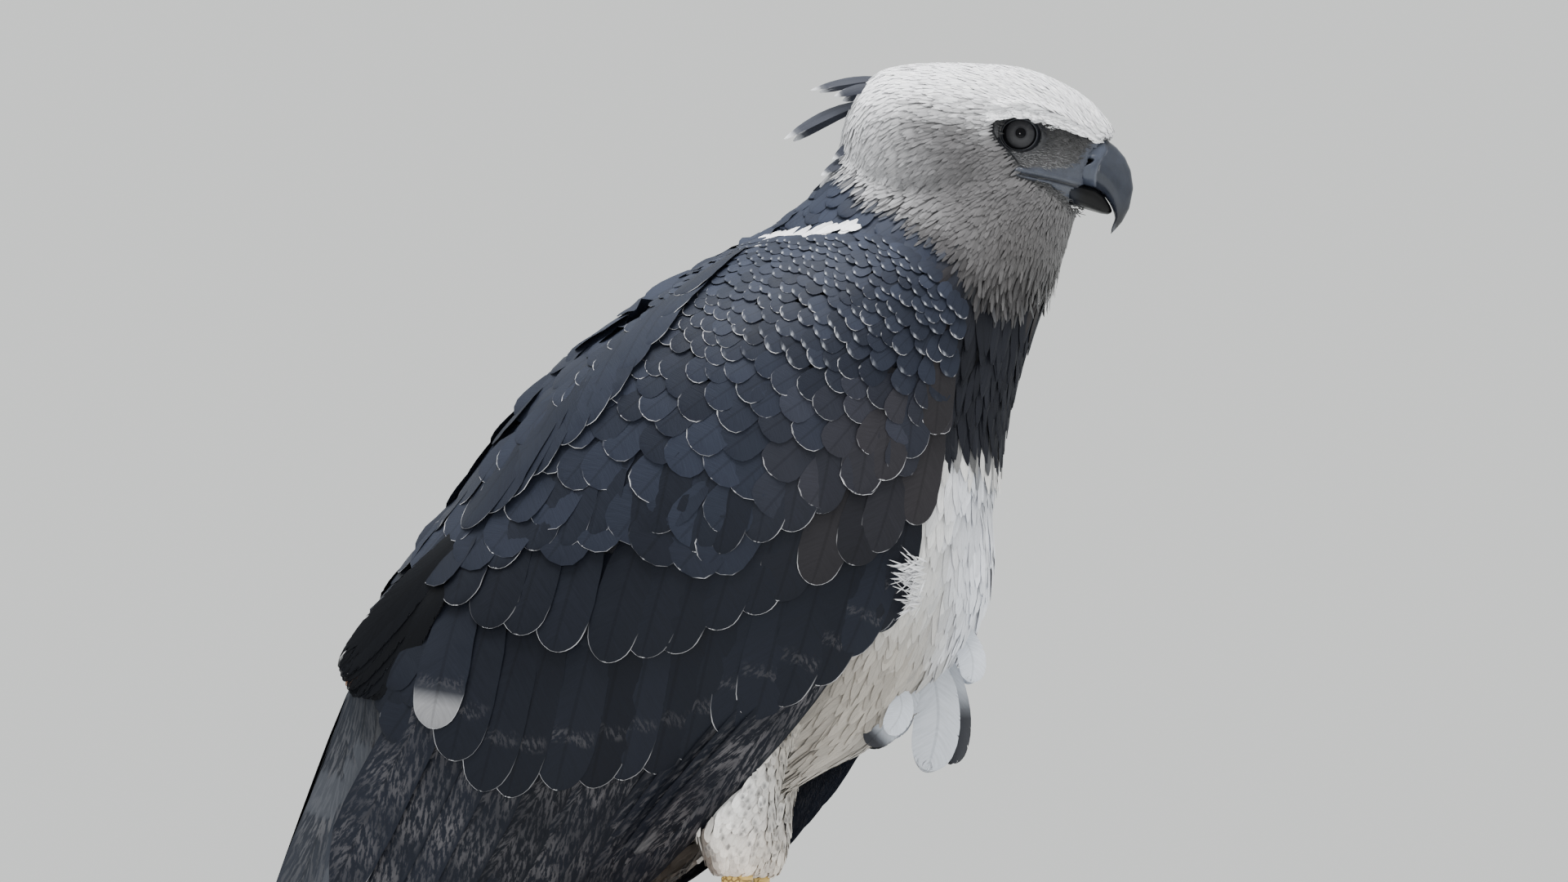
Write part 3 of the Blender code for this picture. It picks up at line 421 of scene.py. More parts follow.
def lay_feathers(name, tree, starts, ends, widths, rises, unwrap, colours, material, outline=ROUND,
                 rows=6, columns=3, arch=0.16, tilts=0.0, thick=0.5, fringe=0.0,
                 bars=0.0, band=0.0, fray=0.0):
    """One mesh of feathers along a surface, or along the paths that a function gives.

    There is one colour for all, one for each feather, or one for each of its rows or points. The
    last four say how much of a pale fringe, bars, a band and frayed barbs the material shows."""
    count = len(starts)
    shares = row_shares(rows)
    if callable(tree):
        places, normals = tree(shares)
    else:
        places, normals = paths_on(tree, starts, ends, shares)
    along = unit(np.gradient(places, axis=1) + 1e-6)
    across = unit(np.cross(normals, along))
    outwards = unit(np.cross(along, across))
    spread = np.interp(shares, *zip(*outline))
    sides = np.linspace(-1, 1, columns)
    rises = np.broadcast_to(np.asarray(rises, float), (count, 2))
    climb = rises[:, :1] + (rises[:, 1:] - rises[:, :1]) * shares[None, :]
    tilts = np.broadcast_to(tilts, (count,))
    half = np.broadcast_to(widths, (count,))[:, None] / 2 * spread[None, :]
    flat = half[:, :, None] * sides
    height = climb[:, :, None] + (1 - sides**2) * (thick + arch * half[:, :, None])
    height = height + tilts[:, None, None] * flat
    top = places[:, :, None, :] + across[:, :, None, :] * flat[..., None]
    top = top + outwards[:, :, None, :] * height[..., None]
    points = top.reshape(-1, 3)
    one = rows * columns
    cell = np.arange(one).reshape(rows, columns)
    quads = np.stack([cell[:-1, :-1], cell[:-1, 1:], cell[1:, 1:], cell[1:, :-1]], -1).reshape(-1, 4)
    under = np.stack([cell[:-1, -1], cell[:-1, 0], cell[1:, 0], cell[1:, -1]], -1)
    caps = np.stack([cell[0, ::-1], cell[-1]])
    step = (np.arange(count) * one)[:, None, None]
    faces = [(np.concatenate([quads, under])[None] + step).reshape(-1, 4),
             (caps[None] + step).reshape(-1, columns)]
    obj = mesh_object(name, points, faces, material)
    vane_u = np.broadcast_to(sides[None, None] * 0.5 + 0.5, (count, rows, columns))
    vane_v = np.broadcast_to(shares[None, :, None], (count, rows, columns))
    vane = np.stack([vane_u, vane_v], -1).reshape(-1, 2)
    put_uv(obj, "Vane", vane)
    root = np.repeat(unwrap(starts), one, axis=0)
    put_uv(obj, "OFBake", root + (vane - 0.5) * 0.003)
    colours = np.asarray(colours, float)
    colours = np.broadcast_to(colours, (count, 3)) if colours.ndim == 1 else colours
    colours = colours[:, None] if colours.ndim == 2 else colours
    colours = colours[:, :, None] if colours.ndim == 3 else colours
    put_attribute(obj, "Coat", np.broadcast_to(colours, (count, rows, columns, 3)).reshape(-1, 3))
    reach = np.linalg.norm(places[:, -1] - places[:, 0], axis=1)
    to_side = half[:, :, None] * (1 - np.abs(sides))
    to_tip = np.broadcast_to((reach[:, None] * (1 - shares))[:, :, None], to_side.shape)
    put_attribute(obj, "Edge", np.minimum(to_side, to_tip).ravel())
    random_number = np.random.default_rng(count).random(count)
    put_attribute(obj, "Own", np.repeat(random_number, one))
    for key, values in (("Fringe", fringe), ("Bars", bars), ("Band", band), ("Fray", fray)):
        put_attribute(obj, key, np.repeat(np.broadcast_to(values, (count,)), one))
    only(obj)
    bpy.ops.object.shade_smooth_by_angle(angle=math.radians(55))
    return obj


def round_map(middle, axis, length):
    """An unwrapping round an axis: the angle across, and the place along the axis upwards."""
    axis = np.asarray(axis, float) / np.linalg.norm(axis)
    first = unit(np.cross(axis, (0, 1, 0.001)))
    second = np.cross(axis, first)

    def unwrap(points):
        offset = np.asarray(points) - middle
        turn = np.arctan2(offset @ second, offset @ first) / (2 * math.pi) + 0.5
        place = (offset @ axis) / length + 0.5
        return np.clip(np.stack([0.02 + 0.96 * turn, 0.02 + 0.96 * place], -1), 0.005, 0.995)

    return unwrap


body_map = round_map((20, 0, 400), (0.45, 0, 0.9), 760)
head_map = round_map((195, 0, 680), (1, 0, 0), 260)
print("feather outlines:", len(ROUND), len(POINTED), len(DOWNY), "points")

# %% [markdown]
# ## Materials from nodes
#
# All finishes are made from nodes. A short helper adds one node and joins its inputs, so that a
# material reads like a list of steps. What several materials share is a node group.

# %% Node helpers
def add(tree, kind, *inputs, **settings):
    """Adds a node, sets its settings, and sets or links its inputs in order."""
    node = tree.nodes.new(kind)
    for key, value in settings.items():
        setattr(node, key, value)
    for socket, value in zip(node.inputs, inputs):
        if isinstance(value, bpy.types.NodeSocket):
            tree.links.new(value, socket)
        elif value is not None:
            socket.default_value = value
    return node


def math_node(tree, operation, a, b=None, c=None, clamp=False):
    return add(tree, "ShaderNodeMath", a, b, c, operation=operation, use_clamp=clamp).outputs[0]


def times(tree, a, b):
    return math_node(tree, "MULTIPLY", a, b)


def times_plus(tree, a, b, c):
    """a times b, plus c."""
    return math_node(tree, "MULTIPLY_ADD", a, b, c)


def soft_step(tree, value, low, high):
    """0 where the value is at low, 1 where it is at high, smooth between."""
    return add(tree, "ShaderNodeMapRange", value, low, high, 0.0, 1.0,
               interpolation_type="SMOOTHSTEP").outputs[0]


def blend_colours(tree, factor, a, b, kind="MIX"):
    node = tree.nodes.new("ShaderNodeMix")
    node.data_type = "RGBA"
    node.blend_type = kind
    for index, value in ((0, factor), (6, a), (7, b)):
        if isinstance(value, bpy.types.NodeSocket):
            tree.links.new(value, node.inputs[index])
        else:
            node.inputs[index].default_value = value
    return node.outputs[2]


def toned(tree, colour, tone):
    """A colour made darker or brighter by a number."""
    grey = add(tree, "ShaderNodeCombineColor", tone, tone, tone).outputs[0]
    return blend_colours(tree, 1.0, colour, grey, "MULTIPLY")


def noise(tree, vector, scale, detail=3.0, rough=0.55):
    node = add(tree, "ShaderNodeTexNoise", vector)
    node.inputs["Scale"].default_value = scale
    node.inputs["Detail"].default_value = detail
    node.inputs["Roughness"].default_value = rough
    return node.outputs["Fac"]


def new_material(name, rough=0.6, **sockets):
    """A material with only its shader and its output, and the shader's plain values."""
    material = bpy.data.materials.new(name)
    material.use_nodes = True
    tree = material.node_tree
    shader = tree.nodes["Principled BSDF"]
    shader.inputs["Roughness"].default_value = rough
    for key, value in sockets.items():
        shader.inputs[key.replace("_", " ")].default_value = value  # as in Coat_Weight
    return material, tree, shader


def object_place(tree):
    return add(tree, "ShaderNodeTexCoord").outputs["Object"]


def put_relief(tree, shader, height, strength, depth):
    """Makes a height show as fine relief, depth metres deep."""
    relief = add(tree, "ShaderNodeBump", strength, depth)
    tree.links.new(height, relief.inputs["Height"])
    tree.links.new(relief.outputs["Normal"], shader.inputs["Normal"])


def new_group(name, inputs, outputs):
    group = bpy.data.node_groups.new(name, "ShaderNodeTree")
    for title, kind in inputs:
        group.interface.new_socket(title, in_out="INPUT", socket_type="NodeSocket" + kind)
    for title, kind in outputs:
        group.interface.new_socket(title, in_out="OUTPUT", socket_type="NodeSocket" + kind)
    return group, group.nodes.new("NodeGroupInput").outputs, group.nodes.new("NodeGroupOutput")


print("node helpers are ready")

# %% [markdown]
# ## What a feather looks like close up
#
# A feather's vane is made of barbs that leave the shaft at a slant. They catch the light as fine
# streaks, part here and there, and are paler at the worn rim. The group works all this out from
# the vane's own map: across the feather, and from its root to its tip.

# %% Feather group
vane_group, given, result = new_group(
    "feather vane",
    [("Coat", "Color"), ("Vane", "Vector"), ("Own", "Float"), ("Fringe", "Float"),
     ("Bars", "Float"), ("Band", "Float"), ("Fray", "Float"), ("Edge", "Float"), ("Rim", "Color"),
     ("Mark", "Color")],
    [("Color", "Color"), ("Roughness", "Float"), ("Height", "Float"), ("Alpha", "Float")],
)
g = vane_group
parts = add(g, "ShaderNodeSeparateXYZ", given["Vane"]).outputs
off_shaft = math_node(g, "ABSOLUTE", times_plus(g, parts[0], 2.0, -1.0))
slant = times_plus(g, off_shaft, -0.16, parts[1])
streak_place = add(g, "ShaderNodeCombineXYZ", times(g, slant, 46.0), times(g, parts[0], 2.2),
                   times(g, given["Own"], 91.0)).outputs[0]
streaks = noise(g, streak_place, 1.0, 3.0, 0.6)
worn = noise(g, add(g, "ShaderNodeCombineXYZ", times(g, slant, 7.0), times(g, parts[0], 1.5),
                    times(g, given["Own"], 37.0)).outputs[0], 1.0, 2.0)
tone = times_plus(g, streaks, 0.55, 0.68)
tone = times(g, tone, times_plus(g, given["Own"], 0.3, 0.86))
shaft = soft_step(g, off_shaft, 0.09, 0.03)
tone = times(g, tone, times_plus(g, shaft, -0.2, 1.0))
# Painted shade: each feather is painted darker towards its root, where the feather above lies over it.
cover = soft_step(g, parts[1], 0.05, 0.6)
tone = times(g, tone, times_plus(g, cover, 0.2, 0.8))
vane_colour = toned(g, given["Coat"], tone)
mottle_place = add(g, "ShaderNodeCombineXYZ", times(g, parts[0], 13.0), times(g, slant, 36.0),
                   times(g, given["Own"], 53.0)).outputs[0]
mottle = soft_step(g, noise(g, mottle_place, 1.0, 4.0, 0.66), 0.46, 0.59)
wave = math_node(g, "SINE", times_plus(g, parts[1], 24.0, times(g, worn, 6.0)))
mottle = times(g, mottle, times_plus(g, wave, 0.3, 0.7))
band_place = times_plus(g, worn, 0.12, 0.62)
from_band = math_node(g, "ABSOLUTE", math_node(g, "SUBTRACT", parts[1], band_place))
in_band = soft_step(g, from_band, 0.055, 0.02)
only_band = times_plus(g, given["Band"], math_node(g, "SUBTRACT", in_band, 1.0), 1.0)
mottle = times(g, mottle, only_band)
mottle = times(g, mottle, soft_step(g, off_shaft, 1.0, 0.75))
mottle = times(g, mottle, given["Bars"])
vane_colour = blend_colours(g, mottle, vane_colour, given["Mark"])
rim_width = times_plus(g, worn, 1.5, -0.25)
rim_line = soft_step(g, math_node(g, "DIVIDE", given["Edge"], math_node(g, "MAXIMUM", rim_width, 0.1)),
                     1.0, 0.6)
rim = times(g, times(g, rim_line, soft_step(g, parts[1], 0.72, 0.9)),
            soft_step(g, math_node(g, "ADD", worn, given["Fringe"]), 0.62, 0.95))
gap_place = add(g, "ShaderNodeCombineXYZ", times(g, parts[0], 5.0),
                times(g, given["Own"], 71.0)).outputs[0]
unbroken = soft_step(g, noise(g, gap_place, 1.0, 3.0, 0.65), 0.40, 0.56)
rim = times(g, rim, unbroken)
vane_colour = blend_colours(g, rim, vane_colour, given["Rim"])
edge = math_node(g, "MAXIMUM", soft_step(g, off_shaft, 0.45, 1.0), soft_step(g, parts[1], 0.6, 1.0))
open_barbs = times(g, edge, given["Fray"])
alpha = soft_step(g, math_node(g, "SUBTRACT", math_node(g, "ADD", streaks, 0.32), open_barbs),
                  0.0, 0.06)
for title, value in (("Color", vane_colour), ("Height", streaks), ("Alpha", alpha),
                     ("Roughness", times_plus(g, streaks, 0.3, 0.3))):
    g.links.new(value, result.inputs[title])
print("feather group:", len(g.nodes), "nodes")


# %% Feather materials
def feather_material(name, rim, mark, bump=0.25, soft=0.0, **sockets):
    """A coat finish: its colour comes from the coat's own markings, its grain from the group."""
    material, tree, shader = new_material(name, **sockets)
    inner = tree.nodes.new("ShaderNodeGroup")
    inner.node_tree = vane_group
    inner.inputs["Rim"].default_value = (*rim, 1)
    inner.inputs["Mark"].default_value = (*mark, 1)
    for key, output in (("Coat", 0), ("Own", 2), ("Fringe", 2), ("Bars", 2), ("Band", 2), ("Fray", 2),
                        ("Edge", 2)):
        reader = add(tree, "ShaderNodeAttribute", attribute_name=key)
        tree.links.new(reader.outputs[output], inner.inputs[key])
    vane_uv = add(tree, "ShaderNodeUVMap", uv_map="Vane")
    tree.links.new(vane_uv.outputs[0], inner.inputs["Vane"])
    tree.links.new(inner.outputs["Color"], shader.inputs["Base Color"])
    rough = math_node(tree, "ADD", inner.outputs["Roughness"], soft, clamp=True)
    tree.links.new(rough, shader.inputs["Roughness"])
    tree.links.new(inner.outputs["Alpha"], shader.inputs["Alpha"])
    put_relief(tree, shader, inner.outputs["Height"], bump, 0.0004)
    return material


pale_coat = feather_material("pale feathers", (0.86, 0.86, 0.88), (0.12, 0.12, 0.13), 0.15, 0.3,
                             Sheen_Weight=0.2, Sheen_Roughness=0.6, Specular_IOR_Level=0.2)
slate_coat = feather_material("slate feathers", (0.40, 0.40, 0.42), (0.080, 0.077, 0.084), 0.3, 0.12,
                              Specular_IOR_Level=0.09)
print("feather materials:", pale_coat.name, "and", slate_coat.name)

# %% [markdown]
# ## Markings
#
# One function gives the coat's colour at any place: white crown, grey throat, black breast band,
# white belly, slate back, with painted light and shade laid over them. The skin and the feathers
# both ask it, so they always agree.

# %% The coat's colours
WHITE = np.array((0.80, 0.80, 0.83))
CHEEK = np.array((0.084, 0.081, 0.085))
THROAT = np.array((0.043, 0.040, 0.041))
BLACK = np.array((0.013, 0.014, 0.019))
SLATE = np.array((0.036, 0.044, 0.070))
CREAM = np.array((0.80, 0.79, 0.78))
# The lower edge of the pale hood, by columns of the photograph.
HOOD_COLUMNS = (990, 1030, 1080, 1130, 1180, 1210, 1250, 1275, 1310)
HOOD_ROWS = (135, 200, 252, 280, 318, 378, 386, 362, 350)
BAND_END = 535  # the row where the breast band ends in front


def hood_row(px):
    """The row of the hood's lower edge at columns of the photograph."""
    return np.interp(px, HOOD_COLUMNS, HOOD_ROWS)


def mix(a, b, share):
    """Colours a, with a share of b for each point."""
    share = share[:, None]
    return np.asarray(a) * (1 - share) + np.asarray(b) * share


def slate(py):
    """The slate of back and wings, painted with light from above: bluish on top, near black in shade
    below.
    """
    # Painted light and shade: the slate is painted much lighter and bluer at the top, where light from
    # above falls, and darker lower down.
    painted_light_from_above = np.interp(py, (260, 400, 560, 720, 900), (0.58, 0.38, 0.38, 0.21, 0.22))[:, None]
    painted_sky_sheen = np.array((1.0, 1.0, 1.0)) + np.array((-0.06, 0.0, 0.10)) * (painted_light_from_above - 0.4)
    return SLATE * painted_light_from_above * painted_sky_sheen


def coat_colour(points, seed=1, wander=1.0):
    """The coat's colour at each point, with painted light and shade, and edges that wander a little."""
    draw = np.random.default_rng(seed)
    px, py = seen(np.asarray(points))
    px = px + draw.normal(0, 3 * wander, len(px))
    py = py + draw.normal(0, 5 * wander, len(py))
    _, angle = body_place(points)
    front = ease(104, 122, np.abs(angle))
    # Painted shade: the cheeks and throat are grey, and are painted darker than that on the head's
    # underside and along the hood's lower edge, where less light falls.
    start = np.interp(px, (1150, 1230, 1300, 1350), (102, 122, 150, 165))
    side_share = np.interp(px, (1020, 1080, 1150, 1190), (0.40, 0.60, 0.90, 1.00))
    head = mix(WHITE, CHEEK, ease(start, start + 66, py) * side_share)
    throat = np.exp(-(((px - 1258) / 55) ** 2) - ((py - 305) / 55) ** 2)
    head = mix(head, THROAT, np.maximum(throat * 0.9, ease(305, 350, py) * ease(1150, 1190, px)))
    reach = np.interp(px, (1100, 1200), (28, 56))
    rim = ease(reach, reach - 30, hood_row(px) - py) * ease(1010, 1060, px)
    head = mix(head, (0.026, 0.024, 0.026), rim * 0.85)
    breast = mix(BLACK, CREAM, ease(BAND_END - 16, BAND_END + 14, py))
    # Painted shade: the lower belly under the wing is painted darker and warmer.
    low = ease(640, 790, py) * ease(1215, 1125, px) * ease(930, 980, px)
    breast = mix(breast, breast * np.array((0.42, 0.39, 0.35)), low)
    vent = ease(985, 1035, py) * ease(905, 870, px)
    breast = mix(breast, (0.100, 0.078, 0.064), vent)
    coat = mix(slate(py), breast, front)
    return mix(coat, head, ease(2, -9, py - hood_row(px)))


print("belly colour:", coat_colour(np.array([[150.0, 0, 420]]))[0].round(2))

# %% [markdown]
# ## The skin
#
# The solids of the head, neck, body and thighs are copied, joined and remeshed, so that no seam
# shows, and the cores of the folded wings are joined in. The skin is then drawn in by the depth
# of the coat. The surface from before that is kept to lay the feathers on.

# %% Join and remesh
def grid_solid(name, tops, bottoms):
    """A closed solid between two grids of points."""
    rows, columns, _ = tops.shape
    cell = np.arange(rows * columns).reshape(rows, columns)
    quads = np.stack([cell[:-1, :-1], cell[:-1, 1:], cell[1:, 1:], cell[1:, :-1]], -1).reshape(-1, 4)
    ring = np.concatenate([cell[0, :-1], cell[:-1, -1], cell[-1, :0:-1], cell[:0:-1, 0]])
    after = np.roll(ring, -1)
    shift = rows * columns
    walls = np.stack([ring, after, after + shift, ring + shift], -1)
    points = np.concatenate([tops.reshape(-1, 3), bottoms.reshape(-1, 3)])
    return mesh_object(name, points, [quads[:, ::-1], quads + shift, walls])


def recalculate(obj):
    """Merges doubled points and makes all faces look outwards."""
    only(obj)
    bpy.ops.object.mode_set(mode="EDIT")
    bpy.ops.mesh.select_all(action="SELECT")
    bpy.ops.mesh.remove_doubles(threshold=0.00001)
    bpy.ops.mesh.normals_make_consistent(inside=False)
    bpy.ops.object.mode_set(mode="OBJECT")


def closed_tube(name, rings, ends, material=None):
    """A tube through rings of points, closed with one point at each end."""
    cell = np.arange(rings.shape[0] * rings.shape[1]).reshape(rings.shape[:2])
    after, quads = ring_quads(cell)
    first = np.stack([np.full(len(after[0]), cell.size), after[0], cell[0]], -1)
    last = np.stack([np.full(len(after[0]), cell.size + 1), cell[-1], after[-1]], -1)
    points = np.concatenate([rings.reshape(-1, 3), ends])
    obj = mesh_object(name, points, [quads, first, last], material)
    recalculate(obj)
    return obj


def wing_core(sign):
    """The folded wing under its feathers: a thick cover over the side of the body."""
    v = np.linspace(0, 1, 10)[None, :].repeat(22, 0)
    first = np.interp(v, *zip(*WING_TOP)) + 0.25
    t = first + (11.6 - 1.1 * v - first) * np.linspace(0, 1, 22)[:, None]
    back_edge, front_edge = wing_edges(t, sign)
    angle = back_edge + 5 + (front_edge - back_edge - 9) * v
    core = grid_solid("wing core", body(t, sign * angle, -4.0), body(t, sign * angle, -14.0))
    recalculate(core)
    return core


def copies_of(*names):
    """New objects with copies of the meshes of nodes."""
    made = []
    for name in names:
        mesh = frame["nodes"][name].data.copy()
        mesh.materials.clear()
        obj = bpy.data.objects.new("copy", mesh)
        bpy.context.scene.collection.objects.link(obj)
        made.append(obj)
    return made


def join(objects, name):
    deselect()
    for obj in objects:
        obj.select_set(True)
    bpy.context.view_layer.objects.active = objects[0]
    if len(objects) > 1:
        bpy.ops.object.join()
    objects[0].name = objects[0].data.name = name
    return objects[0]


def apply_modifier(obj, kind, **settings):
    only(obj)
    modifier = obj.modifiers.new(kind.lower(), kind)
    for key, value in settings.items():
        setattr(modifier, key, value)
    bpy.ops.object.modifier_apply(modifier=modifier.name)


def points_of(obj):
    """The points of a mesh, in millimetres."""
    flat = np.empty(len(obj.data.vertices) * 3, np.float32)
    obj.data.vertices.foreach_get("co", flat)
    return flat.reshape(-1, 3).astype(float) / MM


def normals_of(obj):
    flat = np.empty(len(obj.data.vertices) * 3, np.float32)
    obj.data.vertices.foreach_get("normal", flat)
    return flat.reshape(-1, 3).astype(float)


def set_points(obj, points):
    obj.data.vertices.foreach_set("co", (points * MM).astype(np.float32).ravel())
    obj.data.update()


FLESH = ("head", "neck", "torso", "thigh_left", "thigh_right")
flesh = copies_of(*FLESH)
belly = points_of(flesh[2])
px, py = seen(belly)
# The torso's solid stands out past the outer shape under the belly, so it is drawn back there.
for i in np.flatnonzero((px > 1040) & (py > 770) & (np.abs(belly[:, 1]) < 50)):
    place, normal, _, _ = OUTER.find_nearest(Vector(belly[i]))
    if (Vector(belly[i]) - place).dot(normal) > 1.0:
        belly[i] = place
set_points(flesh[2], belly)
skin = join(flesh + [wing_core(1), wing_core(-1)], "skin")
recalculate(skin)
apply_modifier(skin, "REMESH", mode="VOXEL", voxel_size=0.0026)
apply_modifier(skin, "SMOOTH", factor=0.5, iterations=3)
GUIDE_POINTS, GUIDE_NORMALS = points_of(skin), normals_of(skin)
GUIDE_FACES = [tuple(p.vertices) for p in skin.data.polygons]
GUIDE = BVHTree.FromPolygons([Vector(p) for p in GUIDE_POINTS], GUIDE_FACES)
print("guide surface:", len(GUIDE_FACES), "faces")

# %% Places on the head
NECK_X = 120  # the head turns round an upright line here
RAY_START = 120.0  # how far from the middle plane the rays that measure the head start


def turned(points):
    """The bird turns its head a little: this turns points of the straight head with it."""
    x, y, z = np.moveaxis(np.asarray(points, float), -1, 0)
    c, s = math.cos(TURN), math.sin(TURN)
    return xyz(NECK_X + (x - NECK_X) * c - y * s, (x - NECK_X) * s + y * c, z)


def turned_way(y, z):
    """The direction y to the left and z up of the straight head, turned with it."""
    return turned((NECK_X, y, z)) - turned((NECK_X, 0, 0))


def straight(points):
    """The turn of the head undone."""
    x, y, z = np.moveaxis(np.asarray(points, float), -1, 0)
    c, s = math.cos(TURN), math.sin(TURN)
    return xyz(NECK_X + (x - NECK_X) * c + y * s, -(x - NECK_X) * s + y * c, z)


def head_place(points):
    """Column and row of points of the posed head, and how far out they are."""
    x, y, z = straight(points).T
    return x / PHOTO_MM + PHOTO_MIDDLE, (PHOTO_FLOOR - z - SLANT_Z * np.abs(y)) / PHOTO_MM, y


print("the head is turned by", round(math.degrees(TURN), 1), "degrees")

# %% Parts of the face
EYE_COLUMN, EYE_ROW = 1247.4, 165.5
BROW_LINE = ((1205, 152), (1222, 148), (1240, 145), (1270, 149), (1300, 158), (1335, 171), (1352, 180))
LORES_END = ((1205, 150), (1222, 176), (1235, 188), (1246, 203), (1262, 209), (1352, 215))
GAPE_TOP = ((1232, 214), (1244, 207), (1297, 207), (1318, 199), (1326, 184), (1338, 172), (1352, 178))
GAPE_END = ((1232, 213), (1248, 219), (1284, 228), (1300, 240), (1312, 250), (1352, 262))
MOUTH_LINE = ((1232, 211), (1240, 212), (1247, 215), (1264, 218), (1287, 222), (1310, 227), (1331, 232),
              (1352, 238))


def row_at(line, px):
    """The height of a line of places at a column."""
    return np.interp(px, *zip(*line))


def bare_parts(px, py):
    """How much a place belongs to the lores, and how much to the gape and cere."""
    lores = ease(-2, 2, py - row_at(BROW_LINE, px)) * ease(2, -2, py - row_at(LORES_END, px))
    gape = ease(-2, 2, py - row_at(GAPE_TOP, px)) * ease(2, -2, py - row_at(GAPE_END, px))
    return lores * ease(1212, 1218, px), gape * ease(1236, 1241, px)


print("lines of the face:", len(BROW_LINE), len(LORES_END), len(GAPE_TOP), len(MOUTH_LINE), "places")

# %% Draw the skin in
EYES = {name: sum(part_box("eye_" + name), Vector()) / 2 / MM for name in ("left", "right")}


def eye_gap(points):
    """How far points are from the middle of the nearer eye."""
    return np.minimum(*(np.linalg.norm(points - np.array(place), axis=1) for place in EYES.values()))


px, py = seen(GUIDE_POINTS)
on_head = ease(9, -9, py - hood_row(px))
depth = 3.6 - 1.9 * on_head
own_px, own_py, own_out = head_place(GUIDE_POINTS)
at_face = np.maximum(*bare_parts(own_px, own_py)) * ease(560, 590, GUIDE_POINTS[:, 2])
inwards = 3.5 * at_face + 6.0 * ease(27, 20, eye_gap(GUIDE_POINTS))
drawn = GUIDE_POINTS - GUIDE_NORMALS * depth[:, None]
drawn[:, 1] -= np.sign(own_out) * inwards * ease(3, 10, np.abs(own_out))
set_points(skin, drawn)
put_uv(skin, "OFBake", body_map(GUIDE_POINTS))
deselect()
skin_material, tree, shader = new_material("skin under the feathers", 0.85)
coat = add(tree, "ShaderNodeAttribute", attribute_name="Coat")
place = object_place(tree)
spots = noise(tree, place, 420.0, 4.0)
tree.links.new(blend_colours(tree, times(tree, spots, 0.5), coat.outputs[0],
                             (0.05, 0.05, 0.055, 1)), shader.inputs["Base Color"])
put_relief(tree, shader, spots, 0.4, 0.0006)
skin.data.materials.append(skin_material)
smooth(skin)
keep(skin, "body_feathers", *FLESH)

# %% [markdown]
# ## Wing feathers
#
# A folded wing shows its feathers in tiers, like slates on a roof: the long flight feathers at
# the bottom, then the greater, median and lesser coverts, each tier over the next one down.
# The rows of roots and tips follow the photograph, and the left wing mirrors the right.

# %% Tiers of the wing
# Name, number, roots, tips, widths at the row's ends, rises at root and tip, rows, bars.
WING_TIERS = (
    ("flight", 13, ((560, 790), (640, 860), (760, 880), (880, 850), (960, 810), (1048, 752)),
     ((388, 1125), (430, 1175), (490, 1218), (550, 1238), (606, 1238), (665, 1190), (748, 1108)),
     (38, 32), (-5.8, -3.0), 22, 1.0),
    ("greater", 15, ((572, 705), (650, 750), (750, 745), (865, 715), (970, 685), (1080, 650),
                     (1120, 600)),
     ((531, 890), (594, 965), (712, 964), (809, 940), (897, 895), (997, 832), (1068, 770)),
     (34, 28), (-5.0, -1.6), 18, 0.45),
    ("median", 14, ((610, 575), (680, 610), (765, 640), (870, 640), (970, 600), (1080, 560),
                    (1150, 500)),
     ((562, 738), (618, 765), (700, 797), (799, 805), (905, 751), (1012, 707), (1112, 640)),
     (33, 27), (-3.8, -0.7), 16, 0.0),
    ("third", 15, ((660, 550), (755, 500), (850, 505), (940, 520), (1010, 500), (1085, 470),
                   (1155, 400)),
     ((612, 695), (700, 655), (800, 655), (890, 680), (955, 650), (1045, 610), (1140, 535)),
     (30, 25), (-2.8, 0.2), 15, 0.0),
    ("tertial", 12, ((650, 545), (622, 580), (600, 615), (585, 660)),
     ((418, 812), (424, 828), (436, 848), (462, 852)), (19, 17), (-2.6, 0.4), 22, 0.0),
    ("scapular", 11, ((675, 500), (700, 470), (735, 432), (775, 395), (820, 358), (870, 328),
                      (912, 300)),
     ((568, 648), (612, 620), (652, 583), (702, 538), (744, 488), (787, 430), (835, 366)),
     (34, 26), (-1.6, 1.6), 15, 0.0),
)
# Height, middle, half length and half width of each thigh, in millimetres.
THIGH_ROWS = np.array(((255, 38, 12, 11), (270, 38, 18, 17), (283, 37, 22, 21), (300, 36, 24.5, 24),
                       (320, 37, 28, 26), (345, 40, 32, 27), (372, 44, 34, 26), (392, 46, 34, 10)))


def along_line(line, shares):
    """Points at shares of the way along a line of points."""
    line = np.asarray(line, float)
    steps = np.concatenate([[0], np.cumsum(np.linalg.norm(np.diff(line, axis=0), axis=1))])
    return np.stack([np.interp(np.asarray(shares) * steps[-1], steps, column) for column in line.T], -1)


def evened(obj, moves, rounds=12):
    """Evens out movements along each feather, so that none folds."""
    pairs = np.empty(2 * len(obj.data.edges), int)
    obj.data.edges.foreach_get("vertices", pairs)
    a, b = pairs.reshape(-1, 2).T
    ends, others = np.concatenate([a, b]), np.concatenate([b, a])
    shares = np.maximum(np.bincount(ends, minlength=len(moves)), 1)
    for _ in range(rounds):
        near = [np.bincount(ends, moves[others, k], len(moves)) / shares for k in range(3)]
        moves = (moves + np.stack(near, -1)) / 2
    return moves


